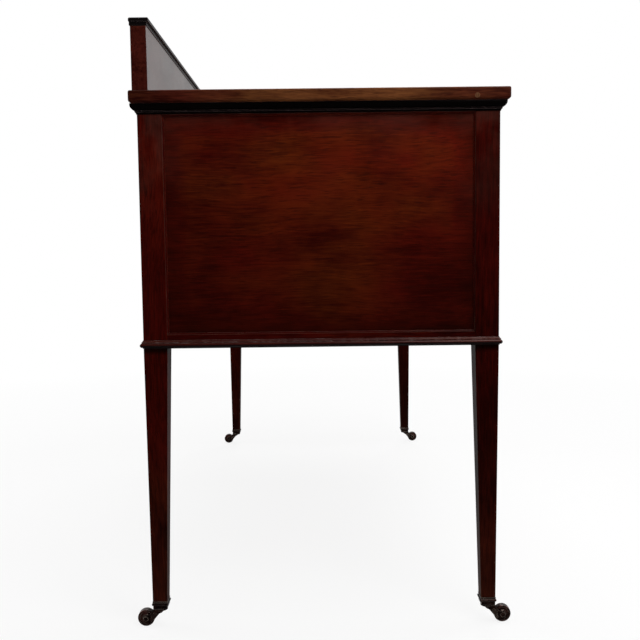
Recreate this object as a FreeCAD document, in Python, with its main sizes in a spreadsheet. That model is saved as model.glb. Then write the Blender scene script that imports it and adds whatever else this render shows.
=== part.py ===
import FreeCAD, Part
import os
import re
import Sketcher

# A kneehole writing table on four tapering legs with castors. The front faces -Y, the length lies along X,
# Z is up, and the origin is on the floor under the middle of the carcass. All sizes are in millimetres.

doc = FreeCAD.newDocument("WritingTable")
sizes = doc.addObject("Spreadsheet::Sheet", "Sizes")
places = doc.addObject("Spreadsheet::Sheet", "Places")
sheet_of = {}
nodes = {}


# Driving sizes, each written once

TABLE_SIZES = [
    ("table_length", 1220.0),
    ("table_depth", 522.0),
    ("table_height", 762.0),
    ("top_thickness", 17.0),
    ("top_arris", 2.6),
    ("top_under_round", 4.6),
    ("end_overhang", 13.0),
    ("front_overhang", 12.5),
    ("back_overhang", 9.5),
    ("kneehole_width", 520.0),
    ("kneehole_board", 20.0),
    ("carcass_foot", 407.0),
]

LEG_SIZES = [
    ("leg_square", 33.5),
    ("leg_arris", 0.4),
    ("foot_square", 20.8),
    ("outer_taper", 2.3),
    ("toe_rebate", 1.0),
]

FRAME_SIZES = [
    ("panel_thickness", 9.0),
    ("panel_recess", 5.0),
    ("panel_groove", 6.0),
    ("rail_thickness", 20.0),
    ("foot_rail_height", 19.0),
    ("head_rail_height", 14.0),
    ("blade_height", 14.0),
    ("blade_depth", 45.0),
    ("frieze_height", 112.0),
    ("bead_width", 2.5),
    ("bead_depth", 2.4),
    ("bead_radius", 2.5),
    ("pedestal_floor", 7.0),
]

RUNNER_SIZES = [
    ("runner_width", 14.0),
    ("guide_height", 20.0),
    ("kicker_width", 40.0),
    ("stop_width", 30.0),
    ("stop_height", 5.0),
    ("stop_depth", 12.0),
    ("stop_inset", 40.0),
    ("stop_play", 0.3),
]

MOULDING_SIZES = [
    ("cornice_height", 14.0),
    ("cornice_top_out", 8.0),
    ("ovolo_drop", 9.2),
    ("ovolo_out", 3.1),
    ("ovolo_radius", 7.5),
    ("cornice_fillet_out", 2.6),
    ("cornice_fillet_drop", 11.2),
    ("cornice_cove_radius", 3.2),
    ("cornice_foot_out", 0.9),
    ("base_height", 11.6),
    ("base_head_out", 0.7),
    ("base_cove_radius", 2.8),
    ("base_fillet_out", 2.4),
    ("base_fillet_head", 2.4),
    ("base_fillet_foot", 3.5),
    ("base_quirk_out", 2.0),
    ("torus_head", 4.0),
    ("torus_foot", 10.2),
    ("torus_radius", 3.2),
    ("base_foot_out", 0.9),
]

GALLERY_SIZES = [
    ("gallery_height", 96.5),
    ("gallery_thickness", 22.0),
    ("gallery_setback", 5.2),
    ("gallery_inset", 4.0),
    ("gallery_arris", 0.8),
    ("cap_nosing_height", 5.6),
    ("cap_nosing_radius", 2.6),
    ("cap_underside_radius", 0.5),
    ("cap_ovolo_height", 5.2),
    ("cap_ovolo_out", 1.0),
    ("cap_ovolo_radius", 0.9),
    ("cap_front_out", 3.6),
    ("cap_back_out", 1.6),
    ("cap_end_out", 3.0),
]

LEATHER_SIZES = [
    ("leather_thickness", 1.6),
    ("leather_play", 0.15),
    ("leather_border", 58.0),
    ("leather_back_border", 40.0),
]

DRAWER_SIZES = [
    ("drawer_gap", 1.0),
    ("drawer_float", 0.3),
    ("drawer_front", 20.0),
    ("drawer_side", 10.0),
    ("drawer_back", 9.0),
    ("drawer_bottom", 6.0),
    ("bottom_lift", 8.0),
    ("bottom_groove", 5.0),
    ("side_drop", 3.0),
    ("drawer_end_room", 14.0),
    ("tail_length", 13.0),
    ("cock_bead_width", 3.2),
    ("cock_bead_proud", 1.6),
    ("cock_bead_radius", 0.75),
]

HANDLE_SIZES = [
    ("post_spacing", 76.0),
    ("post_reach", 9.5),
    ("post_ball_radius", 4.6),
    ("post_stem_radius", 3.2),
    ("shank_radius", 2.5),
    ("shank_play", 0.1),
    ("rose_radius", 11.0),
    ("rose_rim", 1.0),
    ("rose_thickness", 2.4),
    ("nut_radius", 6.0),
    ("nut_thickness", 3.5),
    ("shank_end", 2.0),
    ("bail_radius", 2.1),
    ("bail_play", 0.06),
    ("bail_pin", 3.0),
    ("bail_side_out", 9.8),
    ("bail_drop", 27.0),
    ("bail_shoulder_radius", 5.5),
    ("bail_corner_radius", 13.0),
    ("handle_lift", 6.0),
    ("centre_handle_place", 150.0),
]

LOCK_SIZES = [
    ("keyhole_radius", 2.4),
    ("keyhole_slot", 2.6),
    ("keyhole_length", 8.0),
    ("keyhole_drop", 19.0),
    ("keyplate_radius", 7.0),
    ("keyplate_thickness", 0.9),
    ("lock_width", 44.0),
    ("lock_height", 32.0),
    ("lock_thickness", 8.0),
    ("lock_back", 1.5),
    ("key_pin_radius", 1.2),
]

CASTOR_SIZES = [
    ("wheel_radius", 12.1),
    ("wheel_width", 10.4),
    ("wheel_edge_radius", 1.2),
    ("wheel_rim", 2.3),
    ("wheel_hub_radius", 4.6),
    ("wheel_dish", 1.0),
    ("axle_radius", 1.5),
    ("axle_play", 0.05),
    ("wheel_side_play", 0.5),
    ("wheel_rim_play", 0.9),
    ("castor_trail", 21.9),
    ("cheek_thickness", 2.6),
    ("cheek_arris", 0.8),
    ("boss_radius", 3.5),
    ("boss_proud", 0.9),
    ("plate_level", 26.8),
    ("plate_thickness", 2.8),
    ("plate_radius", 9.2),
    ("plate_step", 0.8),
    ("plate_front", 11.0),
    ("heel_back", 4.2),
    ("heel_front", 1.8),
    ("heel_level", 21.6),
    ("arm_head_trail", 1.8),
    ("arm_head_level", 20.0),
    ("arm_foot_level", 3.4),
    ("arm_foot_radius", 8.9),
    ("arm_end_radius", 4.6),
    ("pintle_radius", 3.0),
    ("pintle_play", 0.05),
    ("pintle_height", 6.0),
    ("swivel_gap", 0.3),
    ("cup_base_height", 5.5),
    ("cup_base_rebate", 0.2),
    ("cup_base_round", 1.4),
    ("cup_ring_height", 3.4),
    ("cup_ring_out", 1.6),
    ("cup_ring_round", 1.5),
    ("cup_hollow_height", 1.6),
    ("cup_hollow_out", 0.1),
    ("cup_lip_height", 1.2),
    ("cup_lip_out", 0.5),
    ("cup_floor", 1.5),
    ("overrun", 20.0),
]

# A dovetail's half width at its tip and at its root, as shares of the pitch from one tail to the next

DOVETAIL_TIP_SHARE = 0.37
DOVETAIL_ROOT_SHARE = 0.30

# Places and sizes that follow from the driving sizes

DERIVED = [
    ("half_table", "table_length / 2"),
    ("half_length", "half_table - end_overhang"),
    ("half_depth", "(table_depth - front_overhang - back_overhang) / 2"),
    ("top_front", "-half_depth - front_overhang"),
    ("top_back", "half_depth + back_overhang"),
    ("carcass_head", "table_height - top_thickness"),
    ("opening_head", "carcass_head - head_rail_height"),
    ("opening_foot", "carcass_foot + foot_rail_height"),
    ("frieze_foot", "opening_head - frieze_height"),
    ("blade_foot", "frieze_foot - blade_height"),
    ("low_height", "blade_foot - opening_foot"),
    ("leg_inner", "half_length - leg_square"),
    ("leg_inner_depth", "half_depth - leg_square"),
    ("end_face", "half_length - panel_recess"),
    ("end_inside", "end_face - panel_thickness"),
    ("back_face", "half_depth - panel_recess"),
    ("back_inside", "back_face - panel_thickness"),
    ("rail_inside", "half_length - rail_thickness"),
    ("back_rail_inside", "half_depth - rail_thickness"),
    ("blade_back", "-half_depth + blade_depth"),
    ("panel_foot", "opening_foot - panel_groove"),
    ("panel_head", "opening_head + panel_groove"),
    ("knee_inner", "kneehole_width / 2"),
    ("knee_outer", "knee_inner + kneehole_board"),
    ("side_opening", "leg_inner - knee_outer"),
    ("pedestal_middle", "(leg_inner + knee_outer) / 2"),
    ("pedestal_centre", "(half_length + knee_inner) / 2"),
    ("floor_head", "carcass_foot + pedestal_floor"),
    ("runner_height", "opening_foot - floor_head"),
    ("gallery_back", "top_back - gallery_setback"),
    ("gallery_front", "gallery_back - gallery_thickness"),
    ("gallery_end", "half_table - gallery_inset"),
    ("cap_head", "table_height + gallery_height"),
    ("nosing_foot", "cap_head - cap_nosing_height"),
    ("cap_foot", "nosing_foot - cap_ovolo_height"),
    ("leather_foot", "table_height - leather_thickness"),
    ("leather_half", "half_table - leather_border"),
    ("leather_front", "top_front + leather_border"),
    ("leather_back", "gallery_front - leather_back_border"),
    ("drawer_depth", "back_rail_inside + half_depth - drawer_end_room"),
    ("bottom_foot", "drawer_float + bottom_lift"),
    ("bottom_head", "bottom_foot + drawer_bottom"),
    ("post_half", "post_spacing / 2"),
    ("bail_half", "post_half + bail_side_out"),
    ("post_seat", "sqrt(post_ball_radius ^ 2 - post_stem_radius ^ 2)"),
    ("foot_place", "half_length - outer_taper - foot_square / 2"),
    ("foot_place_depth", "half_depth - outer_taper - foot_square / 2"),
    ("cup_foot", "plate_level + swivel_gap"),
    ("ring_foot", "cup_foot + cup_base_height"),
    ("ring_head", "ring_foot + cup_ring_height"),
    ("lip_foot", "ring_head + cup_hollow_height"),
    ("cup_head", "lip_foot + cup_lip_height"),
    ("toe_square", "foot_square - 2 * toe_rebate"),
    ("bore_head", "cup_foot + pintle_height + swivel_gap"),
    ("toe_foot", "bore_head + cup_floor"),
    ("slot_radius", "wheel_radius + wheel_rim_play"),
    ("fork_gap", "wheel_width + 2 * wheel_side_play"),
    ("fork_width", "fork_gap + 2 * cheek_thickness"),
    ("plate_foot", "plate_level - plate_thickness"),
    ("arm_end", "castor_trail + arm_end_radius"),
    ("arm_foot_fall", "wheel_radius - arm_foot_level"),
    ("arm_foot_trail", "arm_end - arm_foot_radius - sqrt(arm_foot_radius ^ 2 - arm_foot_fall ^ 2)"),
    ("arm_top", "wheel_radius + arm_end_radius"),
    ("shoulder_level", "plate_level - plate_step"),
    ("arm_rise", "shoulder_level - arm_top"),
    ("arm_hollow_radius", "((castor_trail - plate_front) ^ 2 + arm_rise ^ 2) / (2 * arm_rise)"),
]


# Helpers

def fill(sheet, rows):
    """Writes one alias and its content in each row of a sheet."""
    for row, (alias, content) in enumerate(rows, start=1):
        sheet_of[alias] = sheet.Name
        sheet.set(f"A{row}", alias)
        sheet.set(f"B{row}", content if isinstance(content, str) else str(content))
        sheet.setAlias(f"B{row}", alias)


def full(expression):
    """Puts the sheet's name before each alias of an expression."""
    def owned(match):
        word = match[0]
        return f"{sheet_of[word]}.{word}" if word in sheet_of else word
    return re.sub(r"[a-z][a-z_]*", owned, expression)


def number(expression):
    """The present value of an expression."""
    value = places.evalExpression(full(expression))
    return float(getattr(value, "Value", value))


def node(name, item):
    """Names a finished sub-part, which is written under this name."""
    item.Label = name
    nodes[name] = item
    return item


def signed(side, near, far):
    """The lower and the upper end of a stretch from near to far, mirrored where side is -1."""
    return (near, far) if side > 0 else (f"-({far})", f"-({near})")


def block(name, across, along, up):
    """A squared piece of wood between two ends along X, Y and Z."""
    box = doc.addObject("Part::Box", name)
    for size, axis, (low, high) in zip(("Length", "Width", "Height"), "xyz", (across, along, up)):
        box.setExpression(size, full(f"({high}) - ({low})"))
        box.setExpression(f"Placement.Base.{axis}", full(low))
    return box


def rod(name, radius, start, length, direction):
    """A round bar from a start point along X, Y or Z."""
    bar = doc.addObject("Part::Cylinder", name)
    bar.setExpression("Radius", full(radius))
    bar.setExpression("Height", full(length))
    turn = FreeCAD.Rotation(FreeCAD.Vector(0, 0, 1), direction)
    bar.Placement = FreeCAD.Placement(FreeCAD.Vector(), turn)
    for axis, place in zip("xyz", start):
        bar.setExpression(f"Placement.Base.{axis}", full(place))
    return bar


def group(name, *items):
    """Separate solids under one name."""
    compound = doc.addObject("Part::Compound", name)
    compound.Links = list(items)
    return compound


def cut(name, base, *tools):
    """A solid with the shapes of the tools taken out of it."""
    result = doc.addObject("Part::Cut", name)
    result.Base = base
    result.Tool = tools[0] if len(tools) == 1 else group(f"{name}_tools", *tools)
    return result


def fuse(name, *items):
    """Several solids joined in one."""
    result = doc.addObject("Part::MultiFuse", name)
    result.Shapes = list(items)
    return result


def put(item, across, along, up):
    """Places a sub-part by three expressions."""
    for axis, place in zip("xyz", (across, along, up)):
        item.setExpression(f"Placement.Base.{axis}", full(place))
    return item


def new_body(name):
    """A body with its origin planes made."""
    body = doc.addObject("PartDesign::Body", name)
    doc.recompute()
    return body


def new_sketch(body, name, plane, offset="0"):
    """A sketch on one of the body's own planes, moved along the plane's normal."""
    sketch = body.newObject("Sketcher::SketchObject", f"{body.Name}_{name}")
    origin = next(item for item in body.Origin.OriginFeatures if item.Role == plane)
    sketch.AttachmentSupport = [(origin, "")]
    sketch.MapMode = "FlatFace"
    sketch.setExpression("AttachmentOffset.Base.z", full(offset))
    return sketch


def arc_between(start, end, radius, turn):
    """The short arc from start to end that turns to the left or to the right."""
    chord = end - start
    middle = (start + end) / 2
    left = FreeCAD.Vector(-chord.y, chord.x, 0).normalize()
    reach = (max(radius ** 2 - (chord.Length / 2) ** 2, 0)) ** 0.5
    centre = middle + left * reach if turn == "left" else middle - left * reach
    away = middle - centre if reach else left * (-1 if turn == "left" else 1)
    bulge = away.normalize() * radius
    return Part.Arc(start, centre + bulge, end)


def draw(sketch, corners, closed=True):
    """Draws an outline through its corners, each fixed by two expressions.

    A corner is (across, up), or (across, up, radius, turn) where an arc leads to the next corner.
    """
    spots = [FreeCAD.Vector(number(corner[0]), number(corner[1]), 0) for corner in corners]
    count = len(corners)
    edge_count = count if closed else count - 1
    ends = []
    for index in range(edge_count):
        start = spots[index]
        end = spots[(index + 1) % count]
        if len(corners[index]) == 2:
            sketch.addGeometry(Part.LineSegment(start, end), False)
            ends.append((1, 2))
        else:
            radius, turn = corners[index][2:]
            sketch.addGeometry(arc_between(start, end, number(radius), turn), False)
            ends.append((1, 2) if turn == "left" else (2, 1))
    constraints = []
    bound = []
    for index in range(edge_count):
        following = (index + 1) % edge_count
        if closed or following:
            joint = (index, ends[index][1], following, ends[following][0])
            constraints.append(Sketcher.Constraint("Coincident", *joint))
    for index in range(count):
        edge, point = (index, ends[index][0]) if index < edge_count else (index - 1, ends[index - 1][1])
        for kind, expression in (("DistanceX", corners[index][0]), ("DistanceY", corners[index][1])):
            bound.append((len(constraints), expression))
            constraints.append(Sketcher.Constraint(kind, edge, point, number(expression)))
        if index < edge_count and len(corners[index]) > 2:
            bound.append((len(constraints), corners[index][2]))
            constraints.append(Sketcher.Constraint("Radius", index, number(corners[index][2])))
    sketch.addConstraint(constraints)
    for index, expression in bound:
        sketch.setExpression(f"Constraints[{index}]", full(expression))
    return sketch


def rectangle(low, high, foot, head):
    """The corners of a rectangle, starting along its lower edge."""
    return [(low, foot), (high, foot), (high, head), (low, head)]


def pad(body, name, sketch, length, reverse=False, middle=False):
    """Extrudes a sketch along its normal, against it, or to both sides."""
    feature = body.newObject("PartDesign::Pad", f"{body.Name}_{name}")
    feature.Profile = sketch
    feature.setExpression("Length", full(length))
    feature.Reversed = reverse
    if middle:
        feature.SideType = "Symmetric"
    return feature


def pocket(body, name, sketch, length, reverse=False):
    """Cuts a sketch into the body against its normal, or along it."""
    feature = body.newObject("PartDesign::Pocket", f"{body.Name}_{name}")
    feature.Profile = sketch
    feature.setExpression("Length", full(length))
    feature.Reversed = reverse
    return feature


def soften(body, name, feature, radius, chosen):
    """Rounds the edges of a feature that the test picks out."""
    doc.recompute()
    picked = [f"Edge{place}" for place, edge in enumerate(feature.Shape.Edges, start=1) if chosen(edge)]
    fillet = body.newObject("PartDesign::Fillet", f"{body.Name}_{name}")
    fillet.Base = (feature, picked)
    fillet.setExpression("Radius", full(radius))
    return fillet


def sweep(body, name, section, spine):
    """Runs a section along a spine, mitred at its corners."""
    pipe = body.newObject("PartDesign::AdditivePipe", f"{body.Name}_{name}")
    pipe.Profile = section
    pipe.Spine = spine
    pipe.Transition = "Right corner"
    return pipe


def same(first, second):
    """Whether two lengths are equal to a thousandth of a millimetre."""
    return abs(first - second) < 1e-3


def level(edge, height):
    """Whether an edge lies flat at a height."""
    return same(edge.BoundBox.ZMin, height) and same(edge.BoundBox.ZMax, height)


# Legs

def make_leg(name, side, depth_side):
    """A leg in one piece with its corner stile: square above, tapering below, with a reduced toe."""
    def corner_square(far, far_depth, square):
        across = (f"{side} * ({far} - {square})", f"{side} * ({far})")
        along = (f"{depth_side} * ({far_depth} - {square})", f"{depth_side} * ({far_depth})")
        return rectangle(*across, *along)

    body = new_body(name)
    post = draw(new_sketch(body, "post", "XY_Plane", "carcass_foot"),
                corner_square("half_length", "half_depth", "leg_square"))
    pad(body, "stile", post, "carcass_head - carcass_foot")
    head = draw(new_sketch(body, "taper_head", "XY_Plane", "carcass_foot"),
                corner_square("half_length", "half_depth", "leg_square"))
    foot = draw(new_sketch(body, "taper_foot", "XY_Plane", "cup_head"),
                corner_square("(half_length - outer_taper)", "(half_depth - outer_taper)", "foot_square"))
    taper = body.newObject("PartDesign::AdditiveLoft", f"{name}_taper")
    taper.Profile = head
    taper.Sections = [foot]

    def long_corner(edge):
        box = edge.BoundBox
        return same(box.ZMax, number("carcass_foot")) and same(box.ZMin, number("cup_head"))

    soften(body, "arris", taper, "leg_arris", long_corner)
    toe = draw(new_sketch(body, "toe", "XY_Plane", "cup_head"),
               corner_square("(half_length - outer_taper - toe_rebate)",
                             "(half_depth - outer_taper - toe_rebate)", "toe_square"))
    pad(body, "toe_pad", toe, "cup_head - toe_foot", reverse=True)
    groove = draw(new_sketch(body, "end_groove", "XY_Plane", "panel_foot"),
                  rectangle(f"{side} * end_inside", f"{side} * end_face",
                            f"{depth_side} * leg_inner_depth",
                            f"{depth_side} * (leg_inner_depth + panel_groove)"))
    pocket(body, "end_groove_cut", groove, "panel_head - panel_foot", reverse=True)
    if depth_side > 0:
        groove = draw(new_sketch(body, "back_groove", "XY_Plane", "panel_foot"),
                      rectangle(f"{side} * leg_inner", f"{side} * (leg_inner + panel_groove)",
                                "back_inside", "back_face"))
        pocket(body, "back_groove_cut", groove, "panel_head - panel_foot", reverse=True)
    return node(name, body)


# Ends and back

def make_end(word, side):
    """The end panel in its grooves, with the rails above and below it."""
    node(f"side_panel_{word}", block(f"side_panel_{word}", signed(side, "end_inside", "end_face"),
                                     ("-leg_inner_depth - panel_groove", "leg_inner_depth + panel_groove"),
                                     ("panel_foot", "panel_head")))
    rails = []
    for place, low, high in (("foot", "carcass_foot", "opening_foot"),
                             ("head", "opening_head", "carcass_head")):
        rail = block(f"end_{place}_rail_{word}", signed(side, "rail_inside", "half_length"),
                     ("-leg_inner_depth", "leg_inner_depth"), (low, high))
        rails.append(cut(f"grooved_{place}_rail_{word}", rail, nodes[f"side_panel_{word}"]))
    node(f"side_rails_{word}", group(f"side_rails_{word}", *rails))


def make_bead(name, plane, face, outward, span, foot, head, section_plane, section_place):
    """A thin quarter-round bead, mitred round the edge of a panel."""
    body = new_body(name)
    offset = face if plane == "YZ_Plane" else f"-({face})"
    spine = draw(new_sketch(body, "spine", plane, offset), rectangle(*span, foot, head))
    turn = "left" if outward > 0 else "right"
    tip = f"{face} + {outward} * bead_depth"
    corners = [(face, foot), (tip, foot, "bead_radius", turn), (face, f"{foot} + bead_width")]
    section = draw(new_sketch(body, "section", section_plane, section_place), corners)
    sweep(body, "run", section, spine)
    return body


def make_back():
    """The rails, panels and beads of the polished back."""
    depth = ("back_inside", "back_face")
    panels = [block("centre_back_panel", ("-knee_inner - panel_groove", "knee_inner + panel_groove"), depth,
                    ("frieze_foot - panel_groove", "panel_head"))]
    for word, side in (("left", -1), ("right", 1)):
        panels.append(block(f"back_panel_{word}",
                            signed(side, "knee_outer - panel_groove", "leg_inner + panel_groove"), depth,
                            ("panel_foot", "panel_head")))
    node("back_panels", group("back_panels", *panels))
    thickness = ("back_rail_inside", "half_depth")
    rails = [block("back_head_rail", ("-leg_inner", "leg_inner"), thickness,
                   ("opening_head", "carcass_head")),
             block("back_centre_rail", ("-knee_inner", "knee_inner"), thickness,
                   ("blade_foot", "frieze_foot"))]
    for word, side in (("left", -1), ("right", 1)):
        rails.append(block(f"back_foot_rail_{word}", signed(side, "knee_outer", "leg_inner"), thickness,
                           ("carcass_foot", "opening_foot")))
    grooved = [cut(f"grooved_{rail.Name}", rail, nodes["back_panels"]) for rail in rails]
    node("back_rails", group("back_rails", *grooved))


def make_beads():
    """The beads of the two end panels and of the three back panels."""
    beads = []
    for word, side in (("left", -1), ("right", 1)):
        beads.append(make_bead(f"end_bead_{word}", "YZ_Plane", f"{side} * end_face", side,
                               ("-leg_inner_depth", "leg_inner_depth"), "opening_foot", "opening_head",
                               "XZ_Plane", "0"))
        beads.append(make_bead(f"back_bead_{word}", "XZ_Plane", "back_face", 1,
                               signed(side, "knee_outer", "leg_inner"), "opening_foot", "opening_head",
                               "YZ_Plane", f"{side} * pedestal_middle"))
    beads.append(make_bead("back_bead_centre", "XZ_Plane", "back_face", 1, ("-knee_inner", "knee_inner"),
                           "frieze_foot", "opening_head", "YZ_Plane", "0"))
    node("panel_beads", group("panel_beads", *beads))


# Inside of the carcass

def make_kneehole_side(word, side):
    """The upright board between a pedestal and the kneehole."""
    board = block(f"kneehole_board_{word}", signed(side, "knee_inner", "knee_outer"),
                  ("-half_depth", "half_depth"), ("carcass_foot", "opening_head"))
    node(f"kneehole_side_{word}", cut(f"kneehole_side_{word}", board, nodes["back_panels"]))


def make_front_rails():
    """The rail over the drawers, the blades between them and the rails under them."""
    depth = ("-half_depth", "blade_back")
    rails = [block("front_head_rail", ("-leg_inner", "leg_inner"), depth, ("opening_head", "carcass_head")),
             block("centre_blade", ("-knee_inner", "knee_inner"), depth, ("blade_foot", "frieze_foot"))]
    for word, side in (("left", -1), ("right", 1)):
        width = signed(side, "knee_outer", "leg_inner")
        rails.append(block(f"blade_{word}", width, depth, ("blade_foot", "frieze_foot")))
        rails.append(block(f"front_foot_rail_{word}", width, depth, ("carcass_foot", "opening_foot")))
    node("front_rails", group("front_rails", *rails))


def make_pedestal_floors():
    """The thin boards that close the pedestals below."""
    floors = [block(f"pedestal_floor_{word}", signed(side, "knee_outer", "leg_inner"),
                    ("blade_back", "back_rail_inside"), ("carcass_foot", "floor_head"))
              for word, side in (("left", -1), ("right", 1))]
    node("pedestal_bottoms", group("pedestal_bottoms", *floors))


def make_runners():
    """What carries, guides and stops the drawers."""
    strips = []
    run = ("blade_back", "back_rail_inside")
    for word, side in (("left", -1), ("right", 1)):
        for row, level_up, outside in (("low", "opening_foot", "rail_inside"),
                                       ("top", "frieze_foot", "end_inside")):
            height = (f"{level_up} - runner_height", level_up)
            strips.append(block(f"{row}_inner_runner_{word}",
                                signed(side, "knee_outer", "knee_outer + runner_width"), run, height))
            strips.append(block(f"{row}_outer_runner_{word}",
                                signed(side, "leg_inner - runner_width", outside),
                                ("blade_back", "leg_inner_depth"), height))
            strips.append(block(f"{row}_guide_{word}", signed(side, "leg_inner", "end_inside"),
                                ("-leg_inner_depth", "leg_inner_depth"),
                                (level_up, f"{level_up} + guide_height")))
        strips.append(block(f"centre_runner_{word}", signed(side, "knee_inner - runner_width", "knee_inner"),
                            run, ("frieze_foot - runner_height", "frieze_foot")))
        strips.append(block(f"kicker_{word}", signed(side, "pedestal_middle - kicker_width / 2",
                                                     "pedestal_middle + kicker_width / 2"),
                            run, ("opening_head", "carcass_head")))
    strips.append(block("centre_kicker", ("-kicker_width / 2", "kicker_width / 2"), run,
                        ("opening_head", "carcass_head")))
    stop_face = "-half_depth + drawer_front + stop_play"
    stop_run = (stop_face, f"{stop_face} + stop_depth")
    for word, middle, width, foot in opening_list():
        for hand, side in (("left", -1), ("right", 1)):
            near = f"{middle} + {side} * ({width} / 2 - stop_inset) - stop_width / 2"
            strips.append(block(f"{word}_stop_{hand}", (near, f"{near} + stop_width"), stop_run,
                                (foot, f"{foot} + stop_height")))
    node("drawer_runners", group("drawer_runners", *strips))


def opening_list():
    """Each drawer opening's name, middle, width and foot."""
    openings = [("centre", "0", "kneehole_width", "frieze_foot")]
    for word, side in (("left", -1), ("right", 1)):
        openings.append((f"{word}_top", f"{side} * pedestal_middle", "side_opening", "frieze_foot"))
        openings.append((f"{word}_low", f"{side} * pedestal_middle", "side_opening", "opening_foot"))
    return openings


# Top and mouldings

def make_top():
    """The top board with rounded arrises and a shallow bed for the leather."""
    body = new_body("top_board")
    outline = draw(new_sketch(body, "outline", "XY_Plane", "carcass_head"),
                   rectangle("-half_table", "half_table", "top_front", "top_back"))
    board = pad(body, "board", outline, "top_thickness")
    under = soften(body, "under_round", board, "top_under_round",
                   lambda edge: level(edge, number("carcass_head")))

    def upper_or_upright(edge):
        box = edge.BoundBox
        return level(edge, number("table_height")) or (same(box.XLength, 0) and same(box.YLength, 0))

    soften(body, "arris", under, "top_arris", upper_or_upright)
    bed = draw(new_sketch(body, "leather_bed", "XY_Plane", "table_height"),
               rectangle("-leather_half", "leather_half", "leather_front", "leather_back"))
    pocket(body, "bed_cut", bed, "leather_thickness")
    node("top_board", body)
    node("writing_leather", block("writing_leather",
                                  ("-leather_half + leather_play", "leather_half - leather_play"),
                                  ("leather_front + leather_play", "leather_back - leather_play"),
                                  ("leather_foot", "table_height")))


def make_moulding(name, low, high, head, profile, place):
    """A moulding mitred round a rectangle of the carcass, its profile given by reach and drop."""
    body = new_body(name)
    spine = draw(new_sketch(body, "spine", "XY_Plane", head),
                 rectangle(low, high, "-half_depth", "half_depth"))
    corners = [(f"-half_depth - ({reach})", f"{head} - ({drop})", *bend) for reach, drop, *bend in profile]
    section = draw(new_sketch(body, "section", "YZ_Plane", place), corners)
    sweep(body, "run", section, spine)
    return body


CORNICE_PROFILE = [
    ("0", "0"),
    ("cornice_top_out", "0", "ovolo_radius", "left"),
    ("ovolo_out", "ovolo_drop"),
    ("cornice_fillet_out", "ovolo_drop"),
    ("cornice_fillet_out", "cornice_fillet_drop", "cornice_cove_radius", "right"),
    ("cornice_foot_out", "cornice_height"),
    ("0", "cornice_height"),
]

BASE_PROFILE = [
    ("0", "0"),
    ("base_head_out", "0", "base_cove_radius", "right"),
    ("base_fillet_out", "base_fillet_head"),
    ("base_fillet_out", "base_fillet_foot"),
    ("base_quirk_out", "torus_head", "torus_radius", "left"),
    ("base_quirk_out", "torus_foot"),
    ("base_foot_out", "torus_foot"),
    ("base_foot_out", "base_height"),
    ("0", "base_height"),
]


def make_mouldings():
    """The cornice under the top and the base mouldings round both pedestals."""
    node("top_moulding", make_moulding("top_moulding", "-half_length", "half_length", "carcass_head",
                                       CORNICE_PROFILE, "0"))
    rings = [make_moulding(f"base_moulding_{word}", *signed(side, "knee_inner", "half_length"),
                           "carcass_foot + base_height", BASE_PROFILE, f"{side} * pedestal_centre")
             for word, side in (("left", -1), ("right", 1))]
    node("base_mouldings", group("base_mouldings", *rings))


def make_gallery():
    """The board along the back of the top and the moulded cap on it."""
    body = new_body("gallery_board")
    outline = draw(new_sketch(body, "outline", "XY_Plane", "table_height"),
                   rectangle("-gallery_end", "gallery_end", "gallery_front", "gallery_back"))
    board = pad(body, "board", outline, "cap_foot - table_height")

    def upright(edge):
        return same(edge.BoundBox.ZLength, board.Shape.BoundBox.ZLength)

    soften(body, "arris", board, "gallery_arris", upright)
    node("gallery_board", body)

    cap = new_body("gallery_cap")

    def outline_of(name, foot, front, back, end):
        return draw(new_sketch(cap, name, "XY_Plane", foot),
                    rectangle(f"-gallery_end - ({end})", f"gallery_end + {end}",
                              f"gallery_front - ({front})", f"gallery_back + {back}"))

    lower = pad(cap, "ovolo", outline_of("ovolo_outline", "cap_foot", "cap_ovolo_out", "cap_ovolo_out",
                                         "cap_ovolo_out"), "cap_ovolo_height")
    soften(cap, "ovolo_round", lower, "cap_ovolo_radius", lambda edge: level(edge, number("cap_foot")))
    upper = pad(cap, "nosing", outline_of("nosing_outline", "nosing_foot", "cap_front_out", "cap_back_out",
                                          "cap_end_out"), "cap_nosing_height")
    rounded = soften(cap, "nosing_round", upper, "cap_nosing_radius",
                     lambda edge: level(edge, number("cap_head")))
    reach = number("gallery_end + cap_end_out")

    def nosing_underside(edge):
        box = edge.BoundBox
        outer = same(box.XMax, reach) or same(box.XMin, -reach)
        return level(edge, number("nosing_foot")) and outer

    soften(cap, "underside_round", rounded, "cap_underside_radius", nosing_underside)
    node("gallery_cap", cap)


# Castors

CASTORS = [(f"{depth_word}_{word}", side, depth_side)
           for depth_word, depth_side in (("front", -1), ("back", 1))
           for word, side in (("left", -1), ("right", 1))]


def centred(half):
    """The corners of a square about the middle."""
    return rectangle(f"-({half})", half, f"-({half})", half)


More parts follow.
